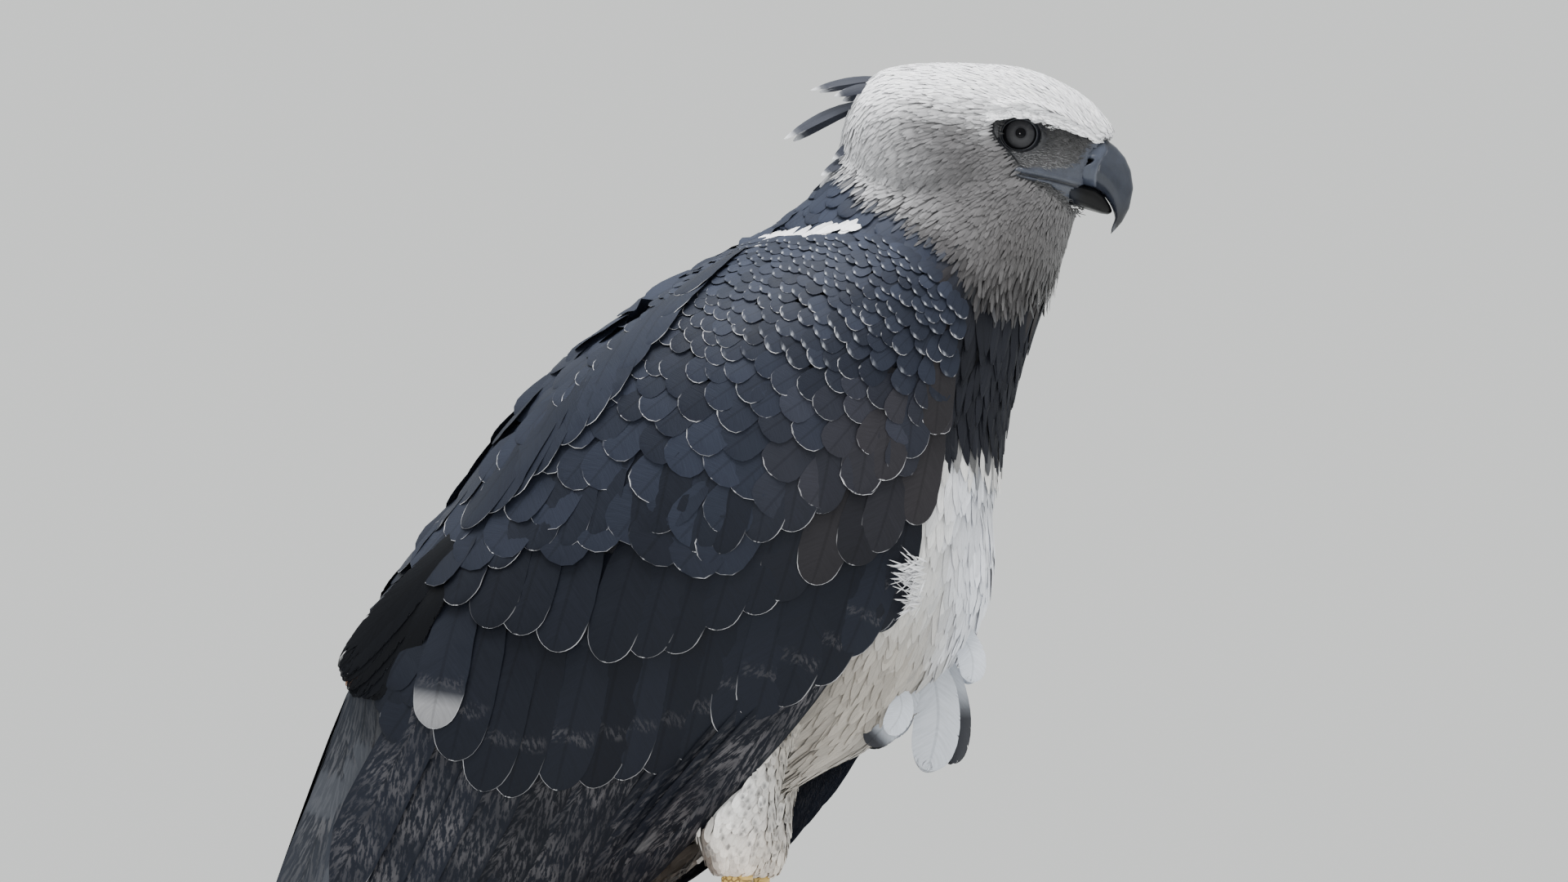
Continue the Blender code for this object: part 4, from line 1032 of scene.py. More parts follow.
def clear_of_body(obj, sign):
    """Moves wing feathers out where they pass over the thigh and over the belly's feathers."""
    points = points_of(obj)
    x, z = points[:, 0], points[:, 2]
    found = [OUTER.find_nearest(Vector(p)) for p in points]
    place, out = np.array([f[0] for f in found]), np.array([f[1] for f in found])
    middle, along, half = (np.interp(z, THIGH_ROWS[:, 0], THIGH_ROWS[:, k]) for k in (1, 2, 3))
    share = np.clip(1 - ((x - middle) / (along + 11)) ** 2, 0, 1)
    lack = 52 + 9 + half * np.sqrt(share) - np.abs(place[:, 1])
    lack = lack * ease(0.0, 0.25, share) * ease(252, 268, z) * ease(400, 375, z)
    lack = np.maximum(lack, 0) * ease(-4, 8, lack)
    guide = np.array([GUIDE.find_nearest(Vector(p))[0] for p in place])
    below = np.sum((place - guide) * out, axis=1)
    t, angle = body_place(points)
    zone = ease(-26, -12, np.abs(angle) - wing_edges(t, sign)[1]) * ease(4.0, 5.5, t)
    zone = zone * ease(10.0, 9.2, t)
    step = zone * np.clip(7.0 - below, 0, 7) * ease(6, 0, lack)
    moves = out * step[:, None]
    moves[:, 1] += sign * lack
    set_points(obj, points + evened(obj, moves))


def free_paths(starts, ends, sign):
    """Paths that follow the body first and then leave it, straight to their ends."""
    def paths(shares):
        places, normals = paths_on(OUTER, starts, ends, shares)
        onward = straight_places(starts, ends, shares)
        free = ease(0.2, 0.75, shares)[None, :, None]
        outward = np.array((-0.35, sign, 0.25))
        return places * (1 - free) + onward * free, unit(normals * (1 - free) + outward * free)
    return paths


def wing_tier(side_name, sign, tier):
    """Lays one tier of a wing from its line in the table."""
    name, count, roots, tips, widths, rises, rows, bars = tier
    draw = np.random.default_rng(len(name) * 10 + (sign > 0))
    shares = np.linspace(0, 1, count)
    shares[1:-1] += draw.uniform(-0.2, 0.2, count - 2) / (count - 1)
    starts = np.array([find(*p, sign) for p in along_line(roots, shares)])
    ends = np.array([find(*p, sign) for p in along_line(tips, shares)])
    ends = starts + (ends - starts) * draw.uniform(0.97, 1.03, (count, 1))
    width = np.interp(shares, (0, 1), widths) * draw.uniform(0.94, 1.08, count)
    lift = draw.uniform(-0.25, 0.25, (count, 1)) + np.array(rises)
    px, py = seen(ends)
    colours = slate(py) * draw.uniform(0.8, 1.2, (count, 1))
    brown = ease(930, 1010, px) * ease(800, 700, py) * draw.uniform(0.2, 1, count)
    colours = mix(colours, (0.026, 0.022, 0.021), 0.65 * brown)
    fringe, fray = draw.uniform(0.2, 0.8, count), 0.35
    if name == "tertial":
        colours, fringe, fray = colours * 0.3, fringe * 0.0, 0.75
        lift = lift + draw.uniform(-0.8, 0.8, (count, 1))
    surface = OUTER
    if name == "tertial":
        u, v = side(*along_line(tips, shares).T)
        far = 50 + 0.5 * np.arange(count)
        ends = xyz(u + SLANT_X * 50, sign * far, v - SLANT_Z * 50)
        surface = free_paths(starts, ends, sign)
    colours = np.tile(colours[:, None], (1, rows, 1))
    tip = row_shares(rows)
    if name == "greater":  # the first one has a worn grey tip
        colours[0] = mix(colours[0], (0.19, 0.19, 0.20), ease(0.72, 0.86, tip))
    if name == "tertial":  # one has a brown tip
        colours[4] = mix(colours[4], (0.20, 0.10, 0.055), ease(0.90, 0.97, tip))
    piece = lay_feathers(
        f"wing_{side_name}_{name}", surface, starts, ends, width, lift, body_map, colours, slate_coat,
        rows=rows, columns=9, arch=0.06, thick=0.3,
        tilts=-sign * draw.uniform(0.03, 0.06, count) * (2.6 if name == "scapular" else 1),
        fringe=fringe * (0.3 if name == "flight" else 1), fray=fray,
        bars=bars * draw.uniform(0.5, 1, count), band=float(name == "greater"))
    if name not in ("tertial", "scapular"):
        clear_of_body(piece, sign)
    return keep(piece, "wing_feathers")


for side_name, sign in SIDES:
    for tier in WING_TIERS:
        piece = wing_tier(side_name, sign, tier)
        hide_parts("wing_" + side_name)

# %% [markdown]
# ## Small coverts
#
# The shoulder is covered with small rounded feathers like fish scales, tiny at the wing's bend
# and larger further back. Their places are drawn at random but kept apart by their own size,
# which looks like the loose rows of a real wing.

# %% Scatter roots
def scatter(spots, sizes, seed):
    """Keeps spots in a random order where none kept before lies within their size."""
    order = np.random.default_rng(seed).permutation(len(spots))
    cell = float(np.max(sizes))
    shelves, kept = {}, []
    for i in order:
        spot, size = spots[i], sizes[i]
        key = tuple((spot // cell).astype(int))
        near = (j for dx in (-1, 0, 1) for dy in (-1, 0, 1) for dz in (-1, 0, 1)
                for j in shelves.get((key[0] + dx, key[1] + dy, key[2] + dz), ()))
        if all(np.sum((spots[j] - spot) ** 2) >= size * size for j in near):
            shelves.setdefault(key, []).append(i)
            kept.append(i)
    return np.array(kept)


def surface_spots(points, normals, faces, spacing, seed):
    """Random spots and normals all over a surface of four-sided faces."""
    faces = np.array([f for f in faces if len(f) == 4])
    a, b, c, d = (points[faces[:, k]] for k in range(4))
    area = np.linalg.norm(np.cross(c - a, d - b), axis=1) / 2
    draw = np.random.default_rng(seed)
    count = int(area.sum() / spacing**2 * 5)
    chosen = draw.choice(len(faces), count, p=area / area.sum())
    u, v = draw.random((2, count, 1))
    spots = (a[chosen] * (1 - u) * (1 - v) + b[chosen] * u * (1 - v)
             + c[chosen] * u * v + d[chosen] * (1 - u) * v)
    return spots, normals[faces[chosen, 0]]


# The lie of the coat: column and row in the photograph, and the way that feathers point there.
LIE = np.array((
    (1345, 135, -1, -0.7), (1280, 95, -1, -0.2), (1200, 78, -1, 0), (1100, 85, -1, 0.2),
    (1040, 150, -0.5, 0.9), (1180, 150, -1, 0.15), (1100, 200, -0.75, 0.65), (1280, 140, -1, -0.1),
    (1200, 230, -0.8, 0.6), (1280, 240, -0.8, 0.6), (1320, 260, -0.5, 0.85), (1250, 300, -0.5, 0.87),
    (1150, 270, -0.65, 0.75), (1060, 240, -0.6, 0.8), (1000, 250, -0.75, 0.65),
    (900, 300, -0.85, 0.55), (750, 400, -0.75, 0.65), (620, 520, -0.6, 0.8), (1230, 400, -0.15, 1),
    (1210, 520, -0.05, 1), (1200, 700, -0.1, 1), (1150, 820, -0.3, 0.95), (1050, 900, -0.7, 0.7),
    (950, 980, -0.85, 0.5), (700, 1050, -1, 0.4), (450, 1000, -0.6, 0.8), (900, 950, -0.05, 1),
    (890, 1060, 0, 1), (1140, 320, -0.8, 0.6), (1100, 420, -0.85, 0.5), (1000, 350, -0.9, 0.45),
    (1000, 480, -0.85, 0.55), (1180, 420, -0.55, 0.83), (800, 600, -0.6, 0.8),
    (850, 450, -0.8, 0.6), (1100, 600, -0.5, 0.85),
))


def lie_of_coat(spots, normals):
    """The way feathers point at each spot, along the surface."""
    px, py = seen(spots)
    gap = (px[:, None] - LIE[:, 0]) ** 2 + (py[:, None] - LIE[:, 1]) ** 2
    weight = 1 / (gap + 300) ** 1.5
    way = weight @ LIE[:, 2:] / weight.sum(axis=1, keepdims=True)
    flow = xyz(way[:, 0], 0.0, -way[:, 1])
    return unit(flow - normals * np.sum(flow * normals, axis=1, keepdims=True))


print("lie of the coat:", len(LIE), "places")

# %% Lesser coverts
SCALE_EDGE = ((560, 620), (618, 640), (690, 600), (800, 610), (890, 640), (950, 610), (1045, 560),
              (1110, 530), (1170, 470), (1200, 400))


def lesser_coverts(side_name, sign):
    """Covers a wing's shoulder with small feathers, larger down the wing, pale flecks in front."""
    t, a = np.meshgrid(np.linspace(0.6, 8.5, 300), np.linspace(5, 140, 260), indexing="ij")
    spots = body(t, sign * a).reshape(-1, 3)
    t, a = t.ravel(), a.ravel()
    mirrored = spots * np.array((1, -sign, 1)) if sign > 0 else spots
    column = (mirrored[:, 0] + SLANT_X * mirrored[:, 1]) / PHOTO_MM + PHOTO_MIDDLE
    row = (PHOTO_FLOOR - mirrored[:, 2] + SLANT_Z * mirrored[:, 1]) / PHOTO_MM
    back_edge, front_edge = wing_edges(t, sign)
    top = np.interp((a - back_edge) / (front_edge - back_edge), *zip(*WING_TOP))
    lower = np.interp(column, *zip(*SCALE_EDGE))
    inside = (a > back_edge + 2) & (a < front_edge - 3) & (t > top + 0.1) & (row < lower)
    crease = np.interp(column, (568, 700, 787, 870, 930), (590, 480, 400, 330, 300))
    inside &= row > crease - 12
    spots, row, column = spots[inside], row[inside], column[inside]
    size = np.interp(row, (280, 360, 430, 500, 600), (4.4, 5.8, 8.4, 12.5, 17.0))
    size = size * np.interp(column, (600, 900, 1100), (1.2, 1.1, 0.95))
    kept = scatter(spots, size, 5 + sign)
    spots, size, row, column = spots[kept], size[kept], row[kept], column[kept]
    _, normals = paths_on(OUTER, spots, spots, (0,))
    way = lie_of_coat(spots, normals[:, 0])
    draw = np.random.default_rng(9)
    ends = spots + way * (size * draw.uniform(2.0, 2.4, len(size)))[:, None]
    fringe = draw.uniform(-0.1, 0.75, len(size)) * ease(320, 400, row)
    plain = slate(row) * draw.uniform(0.75, 1.3, (len(size), 1))
    brown = ease(960, 1020, column) * ease(430, 500, row) * draw.uniform(0, 1, len(size))
    plain = mix(plain, (0.040, 0.033, 0.031), 0.5 * brown)
    fleck = ease(880, 1000, column) * ease(460, 390, row) * (draw.random(len(size)) < 0.8)
    spot = np.array((0, 0, 0, 0, 0, 0.6, 1.0))[:, None] * np.array((0, 0.15, 1, 0.15, 0))
    fleck = (fleck * draw.uniform(0.4, 1, len(fleck)))[:, None, None, None] * spot[None, :, :, None]
    colours = plain[:, None, None] * (1 - fleck) + np.array((0.66, 0.69, 0.76)) * fleck
    rises = np.stack([np.full(len(size), -1.6), 0.15 + size * 0.03], -1)
    piece = lay_feathers(
        f"wing_{side_name}_lesser", OUTER, spots, ends, size * 1.75, rises, body_map, colours,
        slate_coat, rows=7, columns=5, arch=0.03, thick=0.08, tilts=draw.uniform(-0.05, 0.05, len(size)),
        fringe=fringe, fray=0.35)
    clear_of_body(piece, sign)
    return keep(piece, "wing_feathers", "wing_" + side_name)


for side_name, sign in SIDES:
    lesser_coverts(side_name, sign)

# %% The far wing's lower edge
# Root and tip in the photograph of the feathers that show below the belly.
FAR_EDGE = (((1094, 838), (1006, 968)), ((1080, 856), (988, 999)), ((1064, 872), (966, 1026)),
            ((1046, 888), (946, 1050)), ((1028, 898), (926, 1070)))


def straight_paths(starts, ends, facing):
    """A path function for feathers along straight lines, all facing one way."""
    def paths(shares):
        places = straight_places(starts, ends, shares)
        return places, np.broadcast_to(facing[:, None], places.shape)
    return paths


EDGE_COUNT = len(FAR_EDGE)
near_side, far_side = np.linspace(50, 54, EDGE_COUNT), np.linspace(68, 74, EDGE_COUNT)
root_u, root_v = side(*np.array([root for root, _ in FAR_EDGE], float).T)
tip_u, tip_v = side(*np.array([tip for _, tip in FAR_EDGE], float).T)
starts = xyz(root_u - SLANT_X * near_side, near_side, root_v + SLANT_Z * near_side)
ends = xyz(tip_u - SLANT_X * far_side, far_side, tip_v + SLANT_Z * far_side)
facing = unit(np.tile((0.45, 1.0, 0.0), (EDGE_COUNT, 1)))
edge_piece = lay_feathers("wing_left_edge", straight_paths(starts, ends, facing), starts, ends,
                          19.0, (0, 0), body_map, SLATE * 0.4, slate_coat,
                          rows=16, columns=7, arch=0.06, thick=0.3, tilts=0.05, bars=0.3, fray=0.3)
keep(edge_piece, "wing_feathers")

# %% What the wings cover
wing_points, wing_faces = [], []
for obj in bpy.data.objects:
    if obj.name.startswith(("wing_left_", "wing_right_")):
        step = len(wing_points)
        wing_points.extend(Vector(p) for p in points_of(obj))
        wing_faces.extend(tuple(i + step for i in face.vertices) for face in obj.data.polygons)
WINGS = BVHTree.FromPolygons(wing_points, wing_faces)


def wing_gap(points, normals):
    """How far out from each point the wing feathers lie, or a large number where there are none.

    Each ray starts 8 mm inside, so that feathers which lie a little too low are found as well."""
    hits = (WINGS.ray_cast(Vector(p - 8 * n), Vector(n), 75)[3] for p, n in zip(points, normals))
    return np.array([99.0 if reach is None else reach - 8 for reach in hits])


def covered(points, normals, edge):
    """Which points lie under wing feathers, and further than edge from any that do not.

    Points that face forwards need the feathers close above them. Others may lie deep under the
    wing, and also count where it lies beside them."""
    rear = normals[:, 0] < 0.3
    under = wing_gap(points, normals) < np.where(rear, 65, 14)
    outward = np.sign(points[:, 1])[:, None] * np.array((0.0, 1.0, 0.0))
    beside = rear & (np.sum(normals * outward, axis=1) > 0.05)
    under[beside] |= wing_gap(points[beside], outward[beside]) < 32
    open_tree = KDTree(int((~under).sum()))
    for k, i in enumerate(np.flatnonzero(~under)):
        open_tree.insert(points[i], k)
    open_tree.balance()
    for i in np.flatnonzero(under):
        under[i] = open_tree.find(points[i])[2] > edge
    return under


under_wing = covered(GUIDE_POINTS, GUIDE_NORMALS, 4.0)
# Painted shade: the skin that lies under the wings is painted black, so that what shows between their
# feathers looks dark.
put_attribute(skin, "Coat", mix(coat_colour(GUIDE_POINTS, wander=0.3) * 0.9, BLACK,
                                under_wing.astype(float)))
print("skin points under the wings:", int(under_wing.sum()), "of", len(under_wing))

# %% [markdown]
# ## The tail
#
# Twelve long feathers fold over one another, with the middle pair on top. They are black with
# grey bars and a pale tip, and show best from behind. Their paths come from one curved line,
# arched across. Three paler feathers stand on edge along each side.

# %% Tail feathers
TAIL_LINE = ((-150, 424), (-163, 402), (-181, 376), (-196, 338), (-223, 262), (-250, 182), (-290, 50))
TAIL_HALF = 47


def tail_frame(f):
    """The tail line's x and z at shares f of its length, and the way into the tail there."""
    x, z = along_line(TAIL_LINE, np.clip(f, 0, 1)).T
    ahead, behind = (along_line(TAIL_LINE, np.clip(f + d, 0, 1)) for d in (0.02, -0.02))
    down = unit(ahead - behind)
    return x, z, xyz(-down[:, 1], 0.0, down[:, 0])


def tail_point(f, v, sink):
    """A point of the tail's arched upper face, at share f of its length, and its normal."""
    x, z, inward = tail_frame(f)
    tilt = np.array((0.0, 54 * v / TAIL_HALF, 0.0))
    return xyz(x, TAIL_HALF * v, z) + inward * (27 * v * v + sink), unit(tilt - inward)


TAIL_LENGTHS = (1.0, 0.99, 0.985, 0.975, 0.965, 0.945)


def tail_paths(shares):
    """Paths of the tail's feathers, from the middle pair outwards."""
    places, normals = [], []
    for k in range(6):
        for sign in (1, -1):
            f = 0.04 + (TAIL_LENGTHS[k] + 0.004 * sign - 0.04) * shares
            place, normal = tail_point(f, sign * (0.05 + 0.092 * k), 0.3 + 1.15 * k + 0.4 * (sign < 0))
            places.append(place)
            normals.append(normal)
    return np.array(places), np.array(normals)


tail_coat = feather_material("tail feathers", (0.25, 0.25, 0.26), (0.075, 0.075, 0.082), 0.25, 0.1,
                             Specular_IOR_Level=0.12)
tree = tail_coat.node_tree
shader = tree.nodes["Principled BSDF"]
vane = add(tree, "ShaderNodeUVMap", uv_map="Vane").outputs[0]
along = add(tree, "ShaderNodeSeparateXYZ", vane).outputs[1]
wobble = noise(tree, add(tree, "ShaderNodeVectorMath", vane, (9.0, 22.0, 1.0),
                         operation="MULTIPLY").outputs[0], 1.0, 4.0)
bar_wave = math_node(tree, "COSINE", times_plus(tree, along, 29.0, times(tree, wobble, 1.4)))
bars = times(tree, soft_step(tree, bar_wave, 0.25, 0.6), 0.7)
plain = shader.inputs["Base Color"].links[0].from_socket
tree.links.new(blend_colours(tree, bars, plain, (0.050, 0.054, 0.064, 1)), shader.inputs["Base Color"])

tail_starts = tail_paths(np.array([0.0]))[0][:, 0]
tail = lay_feathers("tail_feathers", tail_paths, tail_starts, tail_starts, 45.0, (0, 0), body_map,
                    BLACK * 1.5, tail_coat, rows=26, columns=9, arch=0.05, thick=0.4, fringe=0.5,
                    bars=0.35, fray=0.3)
keep(tail, "tail_feathers", "tail")


def tail_side_paths(shares):
    """The outermost feathers stand on edge along the tail's sides, paler than the rest."""
    places, normals = [], []
    for sign in (1, -1):
        for k, (start, end) in enumerate(((0.16, 0.965), (0.13, 0.95), (0.10, 0.93))):
            f = start + (end - start) * shares
            x, z, inward = tail_frame(f)
            depth = (17 + 5 * k) * ease(0.0, 0.3, f) - 7 * ease(0.6, 1.0, f)
            out = sign * (44.0 + 1.6 * k - 4 * ease(0.5, 1.0, f))
            places.append(xyz(x, out, z) + inward * depth[:, None])
            normals.append(unit(np.array((0.0, sign, 0.0)) - 0.35 * inward))
    return np.array(places), np.array(normals)


side_starts = tail_side_paths(np.array([0.0]))[0][:, 0]
tail_side = lay_feathers("tail_side_feathers", tail_side_paths, side_starts, side_starts,
                         np.tile((34.0, 32.0, 30.0), 2), (0, 0), body_map,
                         (0.022, 0.025, 0.033), tail_coat, rows=26, columns=9,
                         arch=0.04, thick=0.3, fringe=0.4, bars=0.8, fray=0.45)
keep(tail_side, "tail_feathers")

# %% [markdown]
# ## Feathers of the head, neck and body
#
# Each tract of the body has its own kind of feather: short and soft on the head, pointed and
# loose on the breast, long and downy on the belly, small and barred on the thighs. All are laid
# on the surface that was kept from the skin, along the lie of the coat.

# %% Regions
def capsule(px, py, a, b):
    """How far, in pixels, places are from the line between two places."""
    a, b = np.array(a, float), np.array(b, float)
    spot = np.stack([px, py], -1) - a
    f = np.clip(spot @ (b - a) / ((b - a) @ (b - a)), 0, 1)
    return np.linalg.norm(spot - f[:, None] * (b - a), axis=1)


spots, ways = surface_spots(GUIDE_POINTS, GUIDE_NORMALS, GUIDE_FACES, 2.6, 11)
spot_px, spot_py = seen(spots)
spot_t, spot_angle = body_place(spots)
spot_hood = spot_py < hood_row(spot_px)
spot_thigh = ((np.hypot(spots[:, 0] - 40, np.abs(spots[:, 1]) - 52) < 37) & (spots[:, 2] < 352)
              & (np.abs(spots[:, 1]) > 24) & (spot_py > 880))
turn = np.abs(spot_angle)
too_near = (wing_gap(spots, ways) < 2.5) & (spot_t > 3.0)
spot_wing = covered(spots, ways, 10.0) & ~spot_thigh & (spot_t > 1.2)
outward = np.sign(spots[:, 1])[:, None] * np.array((0.0, 1.0, 0.0))
behind_wing = (spots[:, 0] < 20) & (np.abs(spots[:, 1]) > 25) & (spots[:, 2] < 360) & ~spot_thigh
behind_wing[behind_wing] = wing_gap(spots[behind_wing], outward[behind_wing]) < 60
spot_wing |= behind_wing
spot_front = (turn > 112) & ~spot_hood & ~spot_thigh & ~spot_wing
spot_back = ~spot_hood & ~spot_front & ~spot_thigh & ~spot_wing
spot_front, spot_thigh = spot_front & ~too_near, spot_thigh & ~too_near
print("spots:", len(spots), "hood", spot_hood.sum(), "front", spot_front.sum(), "back",
      spot_back.sum(), "thighs", spot_thigh.sum())


# %% Tracts
def tract(name, chosen, size, length, width, rises, slot, material, seed, colour_by=None,
          source=None, move=None, **more):
    """Lays one tract: size is the space between roots, length and width are in such spaces."""
    all_spots, all_ways = source or (spots, ways)
    index = np.flatnonzero(chosen)
    size = np.broadcast_to(size, (len(all_spots),))[index]
    kept = scatter(all_spots[index], size, seed)
    index, size = index[kept], size[kept]
    draw = np.random.default_rng(seed)
    roots, out = all_spots[index], all_ways[index]
    if move is not None:
        roots = move(roots)
    way = unit(lie_of_coat(roots, out) + draw.normal(0, 0.09, (len(roots), 3)))
    reach = np.broadcast_to(length, (len(all_spots),))[index] * size
    reach = reach * draw.uniform(0.85, 1.2, len(size))
    ends = roots + way * reach[:, None]
    colours = coat_colour(roots, seed) * draw.uniform(0.88, 1.12, (len(roots), 1))
    stray = draw.normal(0, 0.35, len(size)) * np.minimum(1, size / 5)
    lift = np.array(rises) + np.stack([np.zeros(len(size)), stray], -1)
    if colour_by is not None:
        lift, colours = colour_by(roots, lift, colours, draw)
    unwrap = head_map if slot == "head_feathers" else body_map
    piece = lay_feathers(name, GUIDE, roots, ends, size * width * draw.uniform(0.85, 1.15, len(size)),
                         lift, unwrap, np.clip(colours, 0, 0.9), material,
                         tilts=draw.uniform(-0.12, 0.12, len(size)), **more)
    return keep(piece, slot)


back_size = np.interp(spot_t, (0, 1.2, 3, 6, 9), (6.5, 9.0, 12.5, 15.0, 15.0))
tract("mantle_feathers", spot_back & ((spot_t < 9.6) | (turn > 60)), back_size, 2.8, 1.9, (-1.8, 0.6),
      "neck_feathers", slate_coat, 22, rows=8, columns=7, arch=0.05, thick=0.25)
band = spot_front & (spot_py < BAND_END + 10)
tract("breast_band_feathers", band, 6.0, 5.0, 1.5, (-1.5, 2.4), "body_feathers", slate_coat, 23,
      outline=POINTED, rows=7, columns=3, arch=0.2)


def tufted(roots, lift, colours, draw):
    """Gathers the belly's feathers in long loose folds that stand out, with painted shade in the folds'
    troughs.
    """
    px, py = seen(roots)
    wave = np.sin(px / 15.0 + py / 34.0 + 1.6 * np.sin(py / 47.0 + px / 90.0))
    lift = lift + np.stack([0.5 * wave, 1.5 * wave], -1)
    shade = 1 - 0.22 * ease(0.2, -1.0, wave)
    cool = mix(colours, colours * np.array((0.90, 0.94, 1.04)), ease(1150, 1200, px))
    return lift, cool * shade[:, None] * 0.86


tract("belly_feathers", spot_front & (spot_py > BAND_END - 12), 4.2, 7.6, 1.7, (-1.8, 0.9),
      "body_feathers", pale_coat, 24, tufted, outline=DOWNY, rows=7, columns=3, arch=0.04, thick=0.12)


def spotted(roots, lift, colours, draw):
    """Gives some thigh feathers a small dark spot near the tip."""
    px, py = seen(roots)
    chance = np.interp(px, (890, 950), (0.2, 0.6))
    dark = (draw.random(len(roots)) < chance) * ease(1052, 1020, py)
    dark = dark * draw.uniform(0.5, 1, len(roots))
    spot = np.array((0, 0, 0.1, 0.9, 0.7, 0))[:, None] * np.array((0.25, 1, 0.25))
    spot = dark[:, None, None, None] * spot[None, :, :, None]
    warm = mix(colours, colours * np.array((1.0, 0.93, 0.86)), ease(960, 1060, py))
    return lift, warm[:, None, None] * (1 - spot) + np.array((0.03, 0.03, 0.035)) * spot


tract("thigh_feathers", spot_thigh, 3.2, 3.4, 1.45, (-1.2, 0.6), "leg_feathers", pale_coat, 25, spotted,
      outline=ROUND, rows=6, columns=3, arch=0.08, thick=0.15)

# %% Down between mantle and wing
down_gap = capsule(spot_px, spot_py, (938, 297), (1066, 282))
down_spot = (down_gap < np.interp(spot_px, (930, 980, 1075), (5, 9, 2))) & ~spot_hood
tract("down_patch", down_spot, 3.2, 3.6, 1.6, (0.4, 2.4), "body_feathers", pale_coat, 26,
      lambda roots, lift, colours, draw: (lift, np.tile(WHITE, (len(roots), 1))), outline=DOWNY,
      rows=5, columns=3, arch=0.1, thick=0.15)

# %% Loose feathers under the belly
# Root and tip in the photograph, distance out at root and tip, width, and colour.
LOOSE = (
    ((1150, 800), (1138, 941), 18, 24, 27, "white"), ((1163, 792), (1170, 934), 10, 12, 15, "dark"),
    ((1130, 818), (1066, 908), 26, 30, 20, "tipped"), ((1176, 760), (1190, 835), 12, 16, 16, "white"),
    ((1112, 835), (1092, 895), 32, 36, 15, "white"),
)
loose_rows = 18
loose_shares = row_shares(loose_rows)
starts, ends, widths, colours = [], [], [], []
for root, tip, near, far, width, kind in LOOSE:
    for sign in (1, -1):
        x0, z0 = side(*root)
        x1, z1 = side(*tip)
        inner = 0.6 if sign > 0 else 1.0  # the far ones lie closer to the middle
        starts.append((x0 - 6, sign * near * inner, z0 - SLANT_Z * near))
        ends.append((x1 - (4 if sign > 0 else 0), sign * far * inner, z1 - SLANT_Z * far))
        widths.append(width)
        pale = np.tile(np.array((0.50, 0.53, 0.59)), (loose_rows, 1))
        if kind == "dark":
            pale = mix(pale, BLACK * 1.5, ease(0.30, 0.62, loose_shares))
        elif kind == "tipped":
            pale = mix(pale, BLACK * 1.5, ease(0.75, 0.92, loose_shares))
        colours.append(pale)
starts, ends = np.array(starts), np.array(ends)


def loose_paths(shares):
    places = straight_places(starts, ends, shares)
    places[..., 0] += (6 * np.sin(math.pi * shares))[None, :]
    facing = unit(xyz(0.45, np.sign(starts[:, 1]), 0.0))
    return places, np.broadcast_to(facing[:, None], places.shape)


loose = lay_feathers("loose_belly_feathers", loose_paths, starts, ends, np.array(widths, float), (0, 0),
                     body_map, np.array(colours), pale_coat, rows=loose_rows, columns=7, arch=0.1,
                     thick=0.3, tilts=0.1, fray=0.7)
keep(loose, "body_feathers")

# %% Wisps of down
draw = np.random.default_rng(61)
count = 110
root_px, root_py = draw.uniform(1112, 1132, count), draw.uniform(684, 742, count)
wisp_roots = np.array([find(px, py, -1) for px, py in zip(root_px, root_py)])
wisp_ends = np.array([find(px, py, -1) for px, py in
                      zip(root_px - draw.uniform(14, 34, count), root_py + draw.normal(-2, 9, count))])
wisps = lay_feathers("down_wisps", OUTER, wisp_roots, wisp_ends, draw.uniform(0.6, 1.5, count),
                     np.stack([np.full(count, -1.0), draw.uniform(2.0, 8.0, count)], -1), body_map,
                     WHITE * 0.9, pale_coat, outline=POINTED, rows=6, arch=0.1,
                     thick=0.15, tilts=draw.uniform(-0.4, 0.4, count), fray=0.9)
keep(wisps, "body_feathers")

# %% [markdown]
# ## The bare face
#
# Between eye and bill the skin is bare, dark and a little wrinkled, with a fleshy gape below. A
# fine sheet is laid over each side of the head there. Its points are found by rays from the
# side, so that every groove can be placed by its column and row in the photograph.

# %% Half widths
def half_width(px, py, sign):
    """How far the head's side stands out from its middle plane at places of the photograph."""
    x, z = side(px, py)
    z = z - SLANT_Z * np.interp(px, (1205, 1250, 1300, 1340, 1366), (44, 37, 27, 15, 5))
    starts = turned(xyz(x, sign * RAY_START, z))
    way = Vector(turned_way(-sign, 0))
    found = [GUIDE.ray_cast(Vector(start), way)[3] for start in starts]
    return np.array([RAY_START - distance if distance else 0.0 for distance in found])


def on_side(px, py, out, sign):
    """Points of the posed head from columns, rows and distances from the middle plane."""
    x, z = side(px, py)
    return turned(xyz(x, sign * out, z - SLANT_Z * out))


print("half the head's width at the eye:", half_width(np.array([1247.0]), np.array([165.0]), -1))

